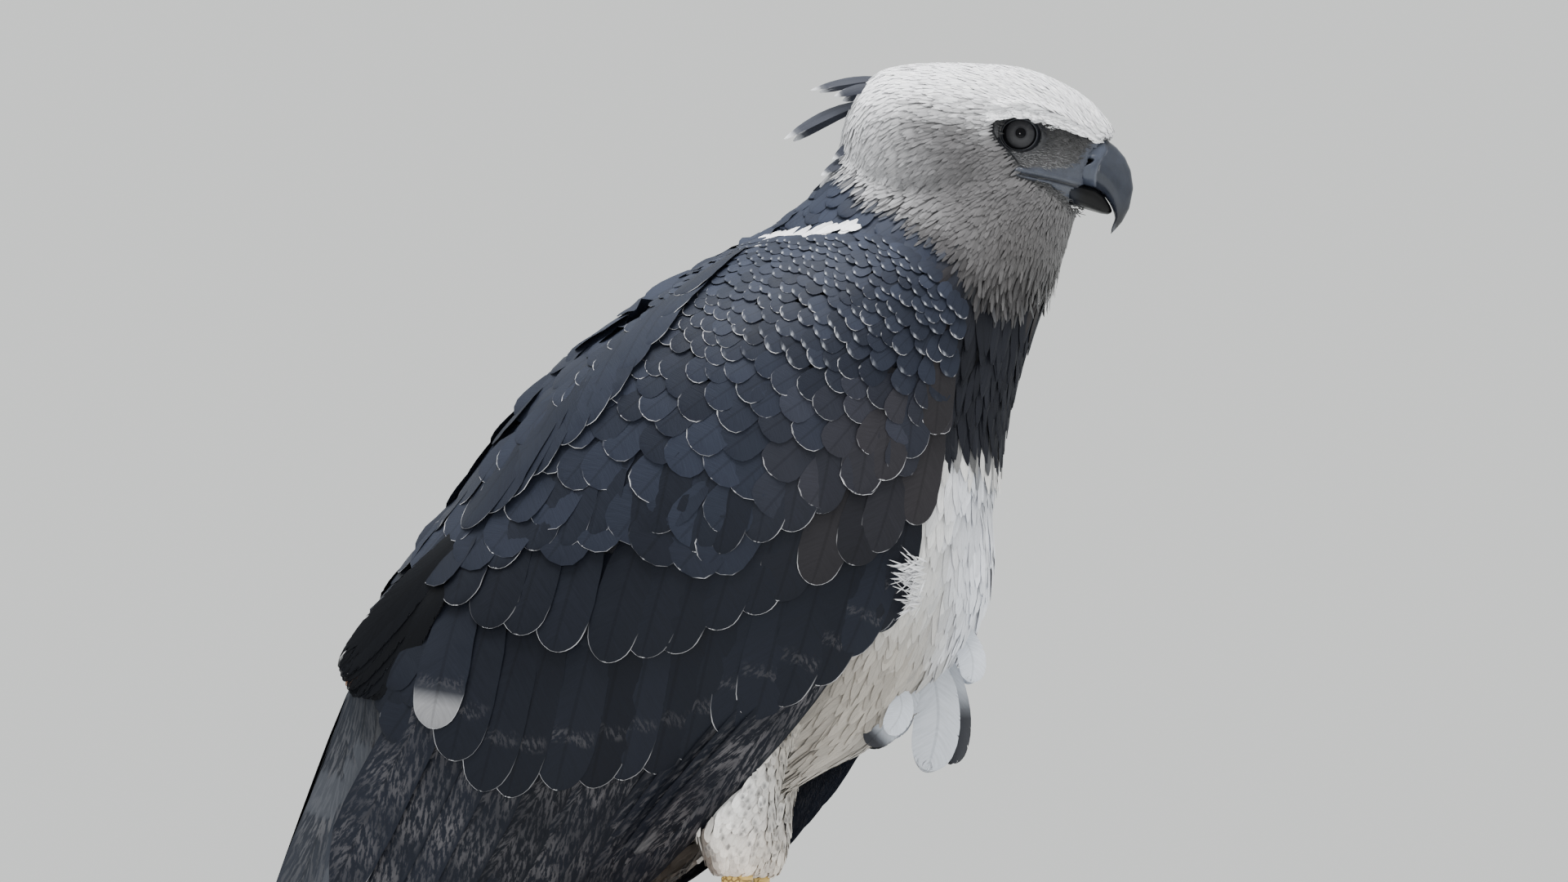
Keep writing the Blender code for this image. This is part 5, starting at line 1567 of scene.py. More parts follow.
# %% Bare skin
def face_sheet(side_name, sign):
    """The bare skin of one side of the face: lores, gape and the line of the mouth."""
    columns, rows = np.arange(1200, 1356, 1.3), np.arange(136, 268, 1.3)
    px, py = (grid.ravel() for grid in np.meshgrid(columns, rows))
    out = half_width(px, py, sign)
    lores, gape = bare_parts(px, py)
    bare = np.maximum(lores, gape)
    above = row_at(MOUTH_LINE, px) - py
    at_mouth = ease(1236, 1246, px)
    height = -2.6 + 2.4 * bare
    height += at_mouth * gape * (0.9 * bell(above - 5, 3.2)
                                 + 0.8 * bell(above + 4, 2.6) - 0.2)
    height -= at_mouth * 1.7 * bell(above, 1.5)
    corner = np.hypot(px - 1243, py - 213)
    height += 0.35 * np.sin(corner * 0.9) * ease(16, 6, corner)
    height += 0.18 * np.sin(px * 0.52 + py * 0.21) * np.sin(py * 0.61) * lores
    from_eye = np.hypot((px - EYE_COLUMN) / 28, (py - EYE_ROW) / 24)
    tops = on_side(px, py, out + height, sign)
    unders = on_side(px, py, np.maximum(out + height - 2.0, 0.5), sign)
    shape = (len(rows), len(columns), 3)
    obj = grid_solid(f"face_skin_{side_name}", tops.reshape(shape), unders.reshape(shape))
    drop = (out < 6) | (ease(1.0, 0.9, from_eye) > 0.5)
    near = np.zeros(len(px))
    for dx, dy in ((9, 0), (-9, 0), (0, 9), (0, -9), (0, 0)):
        near = np.maximum(near, np.maximum(*bare_parts(px + dx, py + dy)))
    drop |= near < 0.3
    dark_skin = (0.040, 0.039, 0.042)
    colours = mix(dark_skin, (0.034, 0.041, 0.062), gape)
    colours = mix(colours, (0.010, 0.011, 0.015), ease(1.75, 1.2, from_eye) * (1 - gape))
    colours = mix(colours, (0.012, 0.012, 0.014), 0.8 * bell(above, 2.0) * gape)
    # Painted shadow: the bare skin just under the brow is painted near black, as the brow's shadow.
    painted_brow_shadow = ease(18, 2, py - row_at(BROW_LINE, px)) * (1 - gape)
    colours = mix(colours, (0.009, 0.009, 0.012), 0.85 * painted_brow_shadow)
    put_attribute(obj, "Coat", np.tile(colours, (2, 1)))
    mesh = bmesh.new()
    mesh.from_mesh(obj.data)
    mesh.verts.ensure_lookup_table()
    gone = np.tile(drop, 2)
    bmesh.ops.delete(mesh, geom=[mesh.verts[i] for i in np.flatnonzero(gone)], context="VERTS")
    mesh.to_mesh(obj.data)
    mesh.free()
    return obj


bare_skin, tree, shader = new_material("bare face skin", 0.42, Coat_Weight=0.15, Coat_Roughness=0.35)
coat = add(tree, "ShaderNodeAttribute", attribute_name="Coat").outputs[0]
place = object_place(tree)
cells = add(tree, "ShaderNodeTexVoronoi", place, feature="DISTANCE_TO_EDGE")
cells.inputs["Scale"].default_value = 1100
creases = soft_step(tree, cells.outputs["Distance"], 0.0, 0.25)
blotches = noise(tree, place, 260.0, 4.0)
tone = times(tree, times_plus(tree, creases, 0.3, 0.75), times_plus(tree, blotches, 0.8, 0.6))
tree.links.new(toned(tree, coat, tone), shader.inputs["Base Color"])
put_relief(tree, shader, creases, 0.35, 0.0003)
for side_name, sign in SIDES:
    sheet = face_sheet(side_name, sign)
    sheet.data.materials.append(bare_skin)
    smooth(sheet)
    keep(sheet, "head_feathers")

# %% [markdown]
# ## Eyes and lids
#
# An eagle's eye is large and sits deep under its brow. The ball is a full sphere with a slightly
# raised cornea, painted in rings round its line of sight. The lids are a ring of dark, finely
# folded skin that starts against the ball and runs out under the feathers.

# %% Eyeballs
EYE_MIDDLE, EYE_OUT, EYE_RADIUS = (191.8, 676.6), 21.5, 12.4


def eyeball(side_name, sign):
    """A sphere with a raised cornea, mapped in rings from its middle."""
    rings, sectors = 40, 64
    a, turn = np.meshgrid(np.linspace(0.0, math.pi, rings), round_angles(sectors), indexing="ij")
    radius = EYE_RADIUS + 0.5 * bell(a, 0.5)
    gaze = math.radians(3)
    forward, up = radius * np.sin(a) * np.cos(turn), radius * np.sin(a) * np.sin(turn)
    out = radius * np.cos(a)
    x = EYE_MIDDLE[0] + forward * math.cos(gaze) + out * math.sin(gaze)
    y = sign * (EYE_OUT + out * math.cos(gaze) - forward * math.sin(gaze))
    points = turned(xyz(x, y, EYE_MIDDLE[1] + up)).reshape(-1, 3)
    cell = np.arange(rings * sectors).reshape(rings, sectors)
    _, quads = ring_quads(cell)
    obj = mesh_object(f"eyeball_{side_name}", points, [quads], eye_material)
    ring = (a * EYE_RADIUS).ravel()
    put_uv(obj, "Iris", np.stack([ring * np.cos(turn.ravel()), ring * np.sin(turn.ravel())], -1))
    recalculate(obj)
    smooth(obj)
    return keep(obj, "eye", "eye_" + side_name)


eye_material, tree, shader = new_material("eye", 0.3, Coat_Weight=0.2, Coat_Roughness=0.02,
                                          Specular_IOR_Level=0.0)
iris_place = add(tree, "ShaderNodeUVMap", uv_map="Iris").outputs[0]
ring = add(tree, "ShaderNodeVectorMath", iris_place, operation="LENGTH").outputs["Value"]
spoke = add(tree, "ShaderNodeVectorMath", iris_place, operation="NORMALIZE").outputs[0]
stretched = add(tree, "ShaderNodeVectorMath", spoke, (14.0, 14.0, 1.0), operation="MULTIPLY")
fibres = noise(tree, stretched.outputs[0], 1.0, 4.0, 0.7)
ramp = tree.nodes.new("ShaderNodeValToRGB")
tree.links.new(times(tree, ring, 0.09), ramp.inputs["Fac"])
stops = ((0.0, (0.002, 0.002, 0.003)), (0.25, (0.002, 0.002, 0.003)), (0.275, (0.022, 0.022, 0.025)),
         (0.38, (0.038, 0.038, 0.041)), (0.58, (0.030, 0.030, 0.033)), (0.74, (0.024, 0.024, 0.027)),
         (0.80, (0.006, 0.006, 0.007)), (1.0, (0.004, 0.004, 0.005)))
while len(ramp.color_ramp.elements) < len(stops):
    ramp.color_ramp.elements.new(0.5)
for element, (place, colour) in zip(ramp.color_ramp.elements, stops):
    element.position = place
    element.color = (*colour, 1)
tone = times_plus(tree, fibres, 0.7, 0.65)
tree.links.new(toned(tree, ramp.outputs[0], tone), shader.inputs["Base Color"])
for side_name, sign in SIDES:
    eyeball(side_name, sign)


# %% Lids
def lid_ring(side_name, sign):
    """The ring of skin round an eye, from the ball to the feathers."""
    sectors, rows = 96, 22
    turn = round_angles(sectors)[:, None]
    f = np.linspace(0, 1, rows)[None, :]
    front, top = ease(-0.6, 0.6, np.cos(turn)), ease(-0.3, 0.6, np.sin(turn))
    inner_x, inner_z = 9.4, 9.0 - 1.3 * top
    outer_x, outer_z = 13.2 + 1.6 * front, 12.0 - 0.6 * top
    across = (inner_x + (outer_x - inner_x) * f) * np.cos(turn)
    upward = (inner_z + (outer_z - inner_z) * f) * np.sin(turn)
    ball_gap = np.sqrt(np.maximum(13.3**2 - across**2 - upward**2, 4.0))
    px = (EYE_MIDDLE[0] + across) / PHOTO_MM + PHOTO_MIDDLE
    py = (PHOTO_FLOOR - EYE_MIDDLE[1] - upward - 2.3) / PHOTO_MM
    guide = half_width(px.ravel(), py.ravel(), sign).reshape(px.shape)
    share = ease(0.3, 0.95, f)
    out = (EYE_OUT + ball_gap) * (1 - share) + (guide - 0.4) * share
    out = out + 0.5 * bell(f - 0.13, 0.09) + 0.22 * np.sin(f * 21) * ease(0.15, 0.4, f)
    out = out - 2.2 * ease(0.07, 0.0, f) - 3.0 * ease(0.88, 1.0, f)
    points = turned(xyz(EYE_MIDDLE[0] + across, sign * out, EYE_MIDDLE[1] + upward))
    unders = turned(xyz(EYE_MIDDLE[0] + across, sign * (out - 1.6), EYE_MIDDLE[1] + upward))
    loop = np.concatenate([points, unders[:, ::-1]], axis=1)
    count = loop.shape[1]
    cell = np.arange(sectors * count).reshape(sectors, count)
    after, beside = np.roll(cell, -1, axis=0), np.roll(cell, -1, axis=1)
    quads = np.stack([cell, beside, np.roll(after, -1, axis=1), after], -1).reshape(-1, 4)
    obj = mesh_object(f"lids_{side_name}", loop.reshape(-1, 3), [quads], bare_skin)
    dark = mix((0.011, 0.012, 0.017), (0.030, 0.033, 0.043),
               0.8 * bell(f[0] - 0.1, 0.08))
    put_attribute(obj, "Coat", np.tile(np.concatenate([dark, dark]), (sectors, 1)))
    recalculate(obj)
    smooth(obj)
    return keep(obj, "head_feathers")


for side_name, sign in SIDES:
    lid_ring(side_name, sign)

# %% [markdown]
# ## The bill
#
# The bill is horn over bone, dark slate, with a softer swollen cere at its root and a slanted
# nostril. The solids have its form; copies of them are remeshed fine and smoothed, and then the
# edge of the cere, the nostril and the worn edge are pressed into the surface.

# %% Upper and lower bill
horn, tree, shader = new_material("bill horn", 0.34, Coat_Weight=0.12, Coat_Roughness=0.2,
                                  Specular_IOR_Level=0.35)
coat = add(tree, "ShaderNodeAttribute", attribute_name="Coat").outputs[0]
place = object_place(tree)
grain_place = add(tree, "ShaderNodeMapping", place, None, (0, 0.6, 0), (1.0, 0.4, 0.3)).outputs[0]
grain = noise(tree, grain_place, 900.0, 5.0, 0.65)
clouds = noise(tree, place, 130.0, 3.0)
tone = times(tree, times_plus(tree, grain, 0.5, 0.75), times_plus(tree, clouds, 0.8, 0.6))
tree.links.new(toned(tree, coat, tone), shader.inputs["Base Color"])
tree.links.new(times_plus(tree, clouds, 0.35, 0.2), shader.inputs["Roughness"])
put_relief(tree, shader, grain, 0.2, 0.0003)


def refined(name, voxel, rounds, *nodes):
    """Copies of nodes as one finer, smoother mesh."""
    obj = join(copies_of(*nodes), name)
    recalculate(obj)
    apply_modifier(obj, "REMESH", mode="VOXEL", voxel_size=voxel)
    apply_modifier(obj, "SMOOTH", factor=0.5, iterations=rounds)
    smooth(obj)
    return obj


HORN, HORN_TIP, CERE = (np.array(c) for c in ((0.016, 0.020, 0.031), (0.005, 0.005, 0.007),
                                              (0.036, 0.044, 0.066)))
CERE_LINE = ((160, 1350), (172, 1354), (184, 1355), (203, 1345), (215, 1342), (233, 1342), (245, 1346))

upper = refined("bill_upper_horn", 0.0007, 9, "bill_upper")
points = points_of(upper)
px, py, out = head_place(points)
gap = px - row_at(CERE_LINE, py)
behind = ease(1.5, -1.5, gap)
press = 0.35 * behind - 0.55 * bell(gap, 1.4)
u = (px - 1331) * 0.927 - (py - 199) * 0.375
v = (px - 1331) * 0.375 + (py - 199) * 0.927
slot = np.hypot(u / 7.8, v / 2.9)
press = press + 0.5 * bell(slot - 1.6, 0.5) - 3.2 * ease(1.3, 0.5, slot)
lower_edge = row_at(((1335, 236), (1352, 240), (1366, 262)), px)
press = press - 0.35 * bell(py - lower_edge + 5, 2)
shift = xyz(0.0, np.sign(out) * press * ease(4, 9, np.abs(out)), 0.0)
set_points(upper, points + turned(shift) - turned(np.zeros((1, 3))))
colours = mix(HORN, HORN_TIP, ease(238, 284, py))
colours = mix(colours, CERE, behind)
# Painted shade: the nostril's hollow is painted near black.
colours = mix(colours, (0.004, 0.004, 0.005), ease(1.25, 0.9, slot))
# The bill is painted paler along the cere's edge, and along its lower edge towards the tip.
pale = bell(gap + 0.5, 1.1) * ease(188, 200, py) * 0.22
pale_along_edge = bell(px - row_at(((232, 1345), (250, 1356), (275, 1364)), py), 2.5) * 0.3
colours = mix(colours, (0.20, 0.21, 0.24), np.maximum(pale, pale_along_edge * ease(228, 238, py)))
put_attribute(upper, "Coat", colours)
upper.data.materials.append(horn)
keep(upper, "bill", "bill_upper")

lower = refined("bill_lower_horn", 0.0007, 14, "bill_lower")
points = points_of(lower)
px, py, out = head_place(points)
points[:, 2] += 2.2 * ease(251, 238, py - 0.35 * (px - 1330)) * ease(1362, 1350, px)
set_points(lower, points)
dark_horn = horn.copy()
dark_horn.name = "lower bill horn"
dark_node = dark_horn.node_tree.nodes["Principled BSDF"]
dark_node.inputs["Specular IOR Level"].default_value = 0.18
dark_node.inputs["Coat Weight"].default_value = 0.0
colours = mix(HORN * 0.9, HORN_TIP * 0.3, ease(1300, 1330, px))
put_attribute(lower, "Coat", colours)
lower.data.materials.append(dark_horn)
keep(lower, "bill", "bill_lower")

# %% [markdown]
# ## Feathers of the head
#
# The head's feathers are fine and soft. Behind the face they stand in wavy upright rows, over the
# eye they form a ledge that shades it, and between eye and bill they are no more than bristles.

# %% Hood
hood_part = GUIDE_POINTS[:, 2] > 560
hood_faces = [f for f in GUIDE_FACES if hood_part[f[0]]]
hood_spots, hood_ways = surface_spots(GUIDE_POINTS, GUIDE_NORMALS, hood_faces, 1.35, 12)
px, py = seen(hood_spots)
in_hood = py < hood_row(px)
own_px, own_py, _ = head_place(hood_spots)
bare = np.maximum(*bare_parts(own_px, own_py)) * ease(1212, 1218, own_px)
clear_of_eye = np.hypot((own_px - EYE_COLUMN) / 27, (own_py - EYE_ROW - 0.5) / 23) > 1.0
in_hood &= (bare < 0.5) & clear_of_eye & (own_px < 1369)
in_hood &= (own_px < 1318) | (own_py < 215)
head_size = np.interp(px, (1040, 1150, 1250, 1345), (2.5, 2.35, 1.95, 1.5))
head_size = head_size * np.interp(py, (90, 250, 380), (0.78, 0.80, 1.05))


def behind_face(px, py):
    """How much a place belongs to the rows of feathers behind the face."""
    return ease(1190, 1110, px) * ease(95, 125, py) * ease(330, 290, py)


def into_rows(roots):
    """Draws the roots behind the face together into wavy upright rows."""
    px, py = seen(roots)
    wiggle = 5 * np.sin(py / 21.0) + 3 * np.sin(py / 9.0 + px / 40)
    row = np.round((px + wiggle) / 15) * 15 - wiggle
    behind = behind_face(px, py)
    moved = roots.copy()
    moved[:, 0] += (row - px) * PHOTO_MM * 0.75 * behind
    return moved


def ruffle(roots, lift, colours, draw):
    """Lifts the tips where the rows stand, and shades the coat a little at random."""
    px, py = seen(roots)
    behind = behind_face(px, py)
    lift = lift + np.stack([-0.4 * behind, 0.9 * behind], -1)
    loose = ease(300, 365, py) * draw.uniform(0, 1.0, len(px)) ** 3 * 6.5
    lift = lift + np.stack([np.zeros(len(px)), loose], -1)
    return lift, colours * draw.uniform(0.9, 1.06, (len(px), 1))


for number, rear in enumerate((True, False)):
    part = in_hood & ((px < 1175) == rear)
    tract(f"head_feathers_{number + 1}", part, head_size, 6.0, 1.2, (-0.8, 0.1), "head_feathers",
          pale_coat, 31 + number, ruffle, source=(hood_spots, hood_ways), move=into_rows,
          outline=DOWNY, rows=5, arch=0.03, thick=0.06)


# %% Brow and bristles
def brow_feathers(side_name, sign):
    """Rows of feathers that stand out over the eye as a ledge."""
    draw = np.random.default_rng(41)
    count = 420
    edge = np.array(BROW_LINE, float)[::-1]
    share = draw.uniform(0, 0.93, count)
    offset = draw.uniform(0, 1, count) ** 1.3 * 15
    start = along_line(edge, share)
    end = along_line(edge, np.minimum(share + draw.uniform(0.09, 0.13, count), 1.0))
    ledge = half_width(start[:, 0], start[:, 1] - 8, sign)
    ledge_end = half_width(end[:, 0], end[:, 1] - 8, sign)
    over = np.interp(start[:, 0], (1215, 1245, 1300, 1350), (0.6, 1.8, 1.5, 0.2)) - offset * 0.16
    starts = on_side(start[:, 0], start[:, 1] - offset - 3, ledge + over - 1.8, sign)
    ends = on_side(end[:, 0], end[:, 1] - offset * 0.85 + draw.uniform(-2, 2.5, count),
                   ledge_end + over + draw.uniform(0, 0.9, count), sign)
    facing = unit(np.tile(turned_way(sign, 0.5), (count, 1)))
    colours = np.tile(WHITE, (count, 1)) * draw.uniform(0.85, 1.0, (count, 1))
    piece = lay_feathers(f"brow_{side_name}", straight_paths(starts, ends, facing), starts, ends,
                         draw.uniform(1.8, 2.8, count), (0, 0), head_map, colours, pale_coat,
                         outline=DOWNY, rows=5, arch=0.1, thick=0.25, fray=0.8)
    return keep(piece, "head_feathers")


def bristles(side_name, sign):
    """Fine bristles between eye and bill, and under the gape."""
    draw = np.random.default_rng(43)
    px, py = draw.uniform(1212, 1345, 5200), draw.uniform(142, 262, 5200)
    lores, gape = bare_parts(px, py)
    rim = np.hypot((px - EYE_COLUMN) / 29, (py - EYE_ROW) / 25)
    chin = (py > row_at(GAPE_END, px) - 3) & (py < row_at(GAPE_END, px) + 14) & (px > 1262)
    chin &= px < 1322
    take = (((lores > 0.4) & (gape < 0.35) & (rim > 1.0)) & (draw.random(5200) < 0.8)) | (
        chin & (draw.random(5200) < 0.5))
    px, py, lores = px[take], py[take], lores[take]
    chin = chin[take]
    out = half_width(px, py, sign)
    far = draw.uniform(5, 10, len(px))
    lean = draw.normal(np.where(chin, 0.35, 0.25), 0.35)
    end_px, end_py = px + far * np.cos(lean), py + far * np.sin(lean)
    end_out = half_width(end_px, end_py, sign)
    starts = on_side(px, py, out - 1.0, sign)
    ends = on_side(end_px, end_py, np.maximum(end_out, out - 3) + draw.uniform(0.3, 1.1, len(px)), sign)
    facing = unit(np.tile(turned_way(sign, 0.2), (len(px), 1)))
    low = ease(172, 200, py) * ease(1320, 1290, px)
    tone = draw.uniform(0.012, 0.05, len(px)) + low * draw.uniform(0.0, 0.16, len(px))
    tone = np.where(chin, draw.uniform(0.02, 0.1, len(px)), tone)
    piece = lay_feathers(f"bristles_{side_name}", straight_paths(starts, ends, facing), starts, ends,
                         draw.uniform(0.45, 0.8, len(px)), (0, 0), head_map,
                         tone[:, None] * np.array((1, 1, 1.05)), pale_coat, outline=POINTED, rows=3,
                         arch=0.3, thick=0.1)
    return keep(piece, "head_feathers")


for side_name, sign in SIDES:
    brow_feathers(side_name, sign)
    bristles(side_name, sign)

# %% [markdown]
# ## The crest
#
# A few long slate feathers with pale tips stand up behind the crown. They are free on both
# sides, so each is a full vane along its own slightly drooping line.

# %% Crest
# Root and tip in the photograph, distance from the middle at root and tip, width, lean, droop.
CREST = (
    ((1086, 93), (993, 111), 8, 13, 8.5, 0.5, 2.6), ((1074, 104), (1022, 119), 17, 19, 7, 0.9, 1.5),
    ((1060, 118), (961, 171), 9, 14, 10.5, 0.5, 3.4), ((1056, 160), (1020, 196), 12, 15, 8, 0.7, 1.0),
    ((1050, 178), (1006, 216), 10, 16, 8, 0.6, 1.0),
)
VANE = ((0, 0.2), (0.15, 0.55), (0.4, 0.95), (0.6, 1.0), (0.8, 0.8), (0.93, 0.45), (1, 0.1))


def crest_feathers():
    """The crest's long feathers, from the rows of its table."""
    starts, ends, widths, facing, droops = [], [], [], [], []
    for root, tip, near, far, width, lean, droop in CREST:
        for sign in (1, -1):
            x0, z0 = side(*root)
            x1, z1 = side(*tip)
            starts.append((x0 + 6, sign * near, z0 - 2 + SLANT_Z * near * (sign > 0)))
            x1, z1 = (x1 + 5, z1 + 2) if sign > 0 else (x1, z1)  # the far ones hide behind the near
            ends.append((x1, sign * far, z1 - SLANT_Z * far))
            widths.append(width)
            facing.append((0, sign * lean, 1 - 0.5 * lean))
            droops.append(droop)
    starts, ends = turned(np.array(starts)), turned(np.array(ends))
    facing, droops = unit(np.array(facing)), np.array(droops)

    def paths(shares):
        places = straight_places(starts, ends, shares)
        bend = np.sin(math.pi * shares)[None, :] * droops[:, None]
        places = places + np.array((0, 0, 1.0)) * bend[..., None]
        return places, np.broadcast_to(facing[:, None], places.shape)

    shares = row_shares(14)
    pale_tip = ease(0.86, 0.98, shares)[None, :, None]
    root_pale = ease(0.25, 0.05, shares)[None, :, None] * 0.6
    colours = np.array((0.030, 0.033, 0.045)) * (1 - pale_tip) + np.array((0.62, 0.63, 0.66)) * pale_tip
    colours = colours * (1 - root_pale) + np.array((0.5, 0.5, 0.52)) * root_pale
    piece = lay_feathers("crest_feathers", paths, starts, ends, np.array(widths), (0, 0), head_map,
                         np.tile(colours, (len(starts), 1, 1)), slate_coat, outline=VANE, rows=14,
                         columns=7, arch=0.06, thick=0.3, fringe=0.2, fray=0.6)
    return keep(piece, "crest_feathers", "crest")


crest_feathers()

# %% [markdown]
# ## Feet and claws
#
# The legs are bare below the feathering: thick yellow shanks and toes with broad plates on top
# and small round scales elsewhere. Shank and toes are built as tubes, remeshed and smoothed, and
# the plates are counted along each toe, which bends round the perch. The claws are black horn.

# %% Feet
foot_skin, tree, shader = new_material("foot scales", 0.5, Coat_Weight=0.08, Coat_Roughness=0.4)
place = object_place(tree)
plates = add(tree, "ShaderNodeAttribute", attribute_name="Plates").outputs[2]
on_top = add(tree, "ShaderNodeAttribute", attribute_name="OnTop").outputs[2]
cells = add(tree, "ShaderNodeTexVoronoi", place, feature="DISTANCE_TO_EDGE")
cells.inputs["Scale"].default_value = 330
small = soft_step(tree, cells.outputs["Distance"], 0.0, 0.16)
wobble = times_plus(tree, noise(tree, place, 120.0, 2.0), 0.5, plates)
saw = math_node(tree, "PINGPONG", wobble, 0.5)
broad = soft_step(tree, saw, 0.0, 0.14)
relief_height = math_node(tree, "ADD", times(tree, broad, on_top),
                          times(tree, small, math_node(tree, "SUBTRACT", 1.0, on_top)))
dirt = noise(tree, place, 60.0, 5.0, 0.6)
skin_colour = blend_colours(tree, relief_height, (0.20, 0.115, 0.035, 1), (0.63, 0.43, 0.115, 1))
skin_colour = blend_colours(tree, soft_step(tree, dirt, 0.5, 0.75), skin_colour, (0.36, 0.25, 0.12, 1))
tree.links.new(skin_colour, shader.inputs["Base Color"])
put_relief(tree, shader, relief_height, 0.7, 0.0009)

# Splay, and the angles round the perch where a toe starts, where its claw starts and where it ends.
TOES = ((3, 98, 172, 262), (-25, 78, 8, -72), (0, 76, -8, -84), (25, 78, 4, -76))
PERCH_X, PERCH_Z, PERCH_R, FOOT_Y = 40, 183, 36, 52


def round_perch(radius, angle, y):
    """Points at angles round the perch's middle line."""
    a = np.radians(angle)
    return xyz(PERCH_X + radius * np.cos(a), y, PERCH_Z + radius * np.sin(a))


def thread(name, path, radii, wide=1.0, sides=24):
    """A closed tube along a path that bends in one upright plane, wide times as broad as deep."""
    along = unit(np.gradient(path, axis=0))
    across = unit(np.array((0, 1, 0)) - along * along[:, 1:2])
    upward = np.cross(across, along)
    a = round_angles(sides)
    ring = (across[:, None] * np.cos(a)[:, None] * wide + upward[:, None] * np.sin(a)[:, None])
    ends = [path[0] - along[0] * radii[0] * 0.3, path[-1] + along[-1] * radii[-1] * 0.5]
    return closed_tube(name, path[:, None] + ring * radii[:, None, None], ends)


def toe_line(number, sign, f):
    """Places along a toe, and how thick it is there, swollen over each joint."""
    splay, start, claw_start, _ = TOES[number]
    lift = 7.6 + 1.6 * np.sin(math.pi * f) - 0.6 * f
    y = sign * FOOT_Y - sign * splay * np.sin(f * math.pi / 2)
    path = round_perch(PERCH_R + lift, start + (claw_start - start) * f, y)
    thick = (8.0 if number == 1 else 8.6) * (1.04 - 0.24 * f)
    return path, thick * (1 + 0.05 * np.cos(f * 2 * math.pi * (2 if number == 0 else 3)))


for side_name, sign in SIDES:
    y = sign * FOOT_Y
    shank = np.array([(38, y, 262), (38.2, y, 256), (38.5, y, 250), (39, y, 238), (40, y, 226)])
    shank = np.stack([np.interp(np.linspace(0, 4, 24), range(5), c) for c in shank.T], -1)
    made = [thread("shank", shank, np.interp(shank[:, 2], (226, 238, 250, 262), (12.5, 10.2, 8.7, 9.0)))]
    for number in range(4):
        path, radii = toe_line(number, sign, np.linspace(0, 1, 40))
        made.append(thread("toe", path, radii, 1.02))
    foot = join(made, f"foot_{side_name}_scaled")
    recalculate(foot)
    apply_modifier(foot, "REMESH", mode="VOXEL", voxel_size=0.001)
    apply_modifier(foot, "SMOOTH", factor=0.5, iterations=4)
    smooth(foot)
    points = points_of(foot)
    from_perch = np.hypot(points[:, 0] - PERCH_X, points[:, 2] - PERCH_Z)
    turned_by = np.arctan2(points[:, 0] - PERCH_X, points[:, 2] - PERCH_Z)
    on_shank = ease(232, 240, points[:, 2])
    plates_round = turned_by * 44 / 4.2  # a plate is 4.2 mm long, 44 mm from the perch's middle
    count = plates_round * (1 - on_shank) + points[:, 2] / 5.0 * on_shank
    top = ease(43, 47, from_perch) * (1 - on_shank) + ease(40, 43, points[:, 0]) * on_shank
    groove = np.abs((count % 1) - 0.5) * 2
    rise = 0.45 * (1 - ease(0.75, 1.0, groove)) * top - 0.2
    set_points(foot, points + normals_of(foot) * rise[:, None])
    put_attribute(foot, "Plates", count)
    put_attribute(foot, "OnTop", top)
    foot.data.materials.append(foot_skin)
    keep(foot, "foot_skin", "foot_" + side_name)

# %% Claws
claw_horn, tree, shader = new_material("claw horn", 0.3, Coat_Weight=0.3, Coat_Roughness=0.2)
place = object_place(tree)
streak = noise(tree, add(tree, "ShaderNodeMapping", place, None, None, (1.0, 3.0, 0.35)).outputs[0],
               500.0, 4.0)
tree.links.new(blend_colours(tree, streak, (0.008, 0.008, 0.009, 1), (0.040, 0.038, 0.038, 1)),
               shader.inputs["Base Color"])
put_relief(tree, shader, streak, 0.2, 0.0003)
for side_name, sign in SIDES:
    for number in range(4):
        ends, thick = toe_line(number, sign, np.array([0.94, 1.0]))
        _, _, claw_start, claw_end = TOES[number]
        f = np.linspace(0, 1, 28)
        swell = 5.5 * np.sin(math.pi * np.minimum(1, f * 1.15))
        radius = PERCH_R + 7.0 - 5.4 * f + swell
        path = round_perch(radius, claw_start + (claw_end - claw_start) * f, ends[1, 1])
        path = np.concatenate([ends[:1], path])
        radii = thick[1] * 0.80 * (1 - f) ** 0.75 + 0.5
        claw = thread(f"claw_{side_name}_{number + 1}_horn", path, np.append(radii[:1], radii), 0.86, 20)
        claw.data.materials.append(claw_horn)
        smooth(claw)
        keep(claw, "claw", f"claw_{side_name}_{number + 1}")

# %% [markdown]
# ## Perch and stand
#
# The perch is a weathered branch with its bark gone: long grey-brown grain, fine cracks and a few
# knots. It rests on a plain dark steel stand, whose solids have the right shape and keep it.

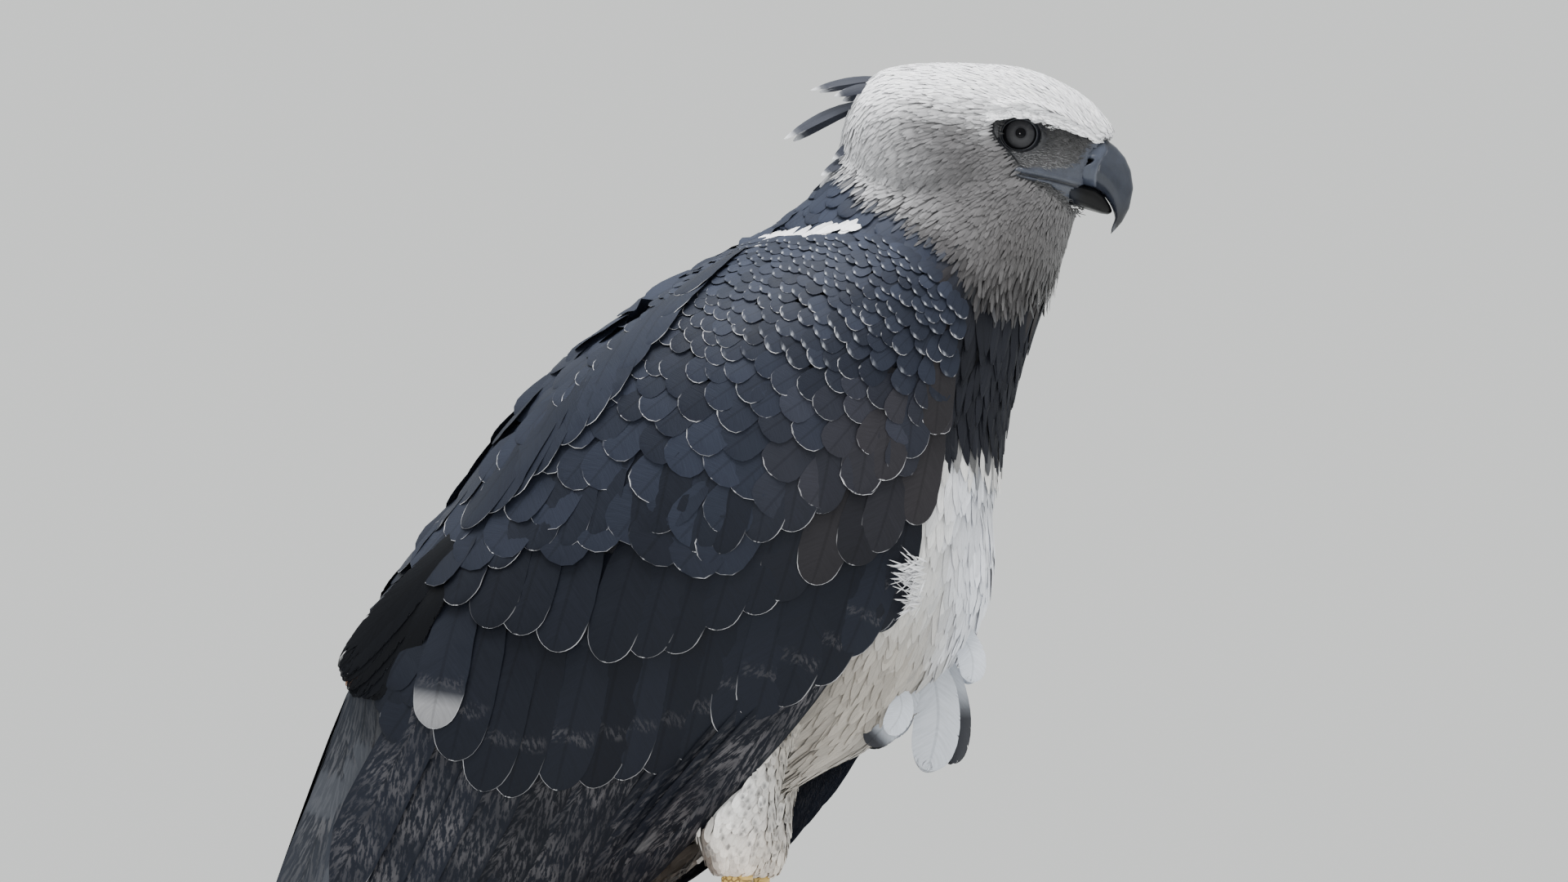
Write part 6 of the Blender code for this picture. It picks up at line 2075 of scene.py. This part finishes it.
# %% Perch
def branch():
    """The perch: a slightly rippled tube with three knots and rounded rims."""
    length, sides = 150, 128
    y = np.linspace(-149.4, 149.4, length)[:, None]
    a = round_angles(sides)[None, :]
    draw = np.random.default_rng(5)
    radius = 35.3 + 0 * y * a
    for n in range(2, 9):
        radius = radius + draw.uniform(0.05, 0.28) * np.cos(n * a + draw.uniform(0, 6) + y / 60)
    for n in range(14, 60, 5):
        ripple = np.cos(n * a + draw.uniform(0, 6) + 3 * np.sin(y / draw.uniform(40, 90)))
        radius = radius + 0.09 * ripple * np.cos(y / draw.uniform(15, 45) + n)
    for at_y, at_a, size in ((-96, 0.6, 9), (102, 2.4, 8), (6, 5.6, 10)):
        away = np.hypot((y - at_y) / size, ((a - at_a + math.pi) % (2 * math.pi) - math.pi) * 35 / size)
        radius = radius + 1.0 * np.exp(-((away - 0.9) ** 2) * 8) - 1.2 * np.exp(-(away**2) * 4)
    radius = radius - 1.5 * ease(147.5, 149.4, np.abs(y))
    rings = [xyz(PERCH_X + radius * np.cos(a), y, PERCH_Z + radius * np.sin(a))]
    for end, share in ((0, 0.66), (0, 0.33), (-1, 0.66), (-1, 0.33)):
        ring = rings[0][end] * share + np.array((PERCH_X, float(y[end, 0]), PERCH_Z)) * (1 - share)
        rings.append(ring[None])
    tube, s2, s1, e2, e1 = rings
    hearts = [(PERCH_X, float(y[end, 0]), PERCH_Z) for end in (0, -1)]
    obj = closed_tube("perch_branch", np.concatenate([s1, s2, tube, e2, e1]), hearts, weathered_wood)
    only(obj)
    bpy.ops.object.shade_smooth_by_angle(angle=math.radians(40))
    return keep(obj, "perch_wood", "perch")


weathered_wood, tree, shader = new_material("weathered wood", 0.75, Specular_IOR_Level=0.3)
place = object_place(tree)
long_place = add(tree, "ShaderNodeMapping", place, None, None, (1.0, 0.09, 1.0)).outputs[0]
long_grain = noise(tree, long_place, 260.0, 6.0, 0.62)
broad_grain = noise(tree, long_place, 60.0, 3.0)
cracks = soft_step(tree, noise(tree, long_place, 420.0, 2.0, 0.4), 0.36, 0.31)
wood = blend_colours(tree, long_grain, (0.17, 0.085, 0.045, 1), (0.50, 0.315, 0.20, 1))
wood = blend_colours(tree, soft_step(tree, broad_grain, 0.42, 0.62), wood, (0.42, 0.285, 0.20, 1))
wood = blend_colours(tree, times(tree, cracks, 0.85), wood, (0.055, 0.030, 0.018, 1))
HEART_X, HEART_Z = 0.042, 0.181  # the year rings lie round this, a little off the middle
axis = add(tree, "ShaderNodeSeparateXYZ", place).outputs
radial = add(tree, "ShaderNodeCombineXYZ", math_node(tree, "SUBTRACT", axis[0], HEART_X),
             math_node(tree, "SUBTRACT", axis[2], HEART_Z)).outputs[0]
from_heart = add(tree, "ShaderNodeVectorMath", radial, operation="LENGTH").outputs["Value"]
ring_wave = math_node(tree, "SINE", times_plus(tree, from_heart, 2300.0, times(tree, broad_grain, 9.0)))
on_end = soft_step(tree, math_node(tree, "ABSOLUTE", axis[1]), 0.1472, 0.1482)
rings = blend_colours(tree, soft_step(tree, ring_wave, -0.6, 0.8), (0.20, 0.105, 0.060, 1),
                      (0.42, 0.27, 0.175, 1))
wood = blend_colours(tree, on_end, wood, rings)
tree.links.new(wood, shader.inputs["Base Color"])
depth_of_grain = math_node(tree, "SUBTRACT", long_grain, cracks)
put_relief(tree, shader, depth_of_grain, 0.6, 0.0012)
branch()

# %% Stand
steel, tree, shader = new_material("dark steel", 0.45, Metallic=0.6)
place = object_place(tree)
speckle = noise(tree, place, 900.0, 3.0)
smudges = noise(tree, place, 14.0, 4.0)
tree.links.new(blend_colours(tree, smudges, (0.020, 0.021, 0.023, 1), (0.042, 0.043, 0.046, 1)),
               shader.inputs["Base Color"])
tree.links.new(times_plus(tree, smudges, 0.35, 0.28), shader.inputs["Roughness"])
put_relief(tree, shader, speckle, 0.12, 0.0002)
for name in ("stand_base", "stand_rod_left", "stand_rod_right"):
    mesh = frame["nodes"][name].data
    mesh.materials.clear()
    mesh.materials.append(steel)
plain_floor, tree, shader = new_material("plain floor", 0.8)
shade = noise(tree, object_place(tree), 0.7, 2.0)
tree.links.new(blend_colours(tree, shade, (0.60, 0.61, 0.60, 1), (0.64, 0.65, 0.64, 1)),
               shader.inputs["Base Color"])
floor.data.materials.append(plain_floor)
print("stand and floor are finished")
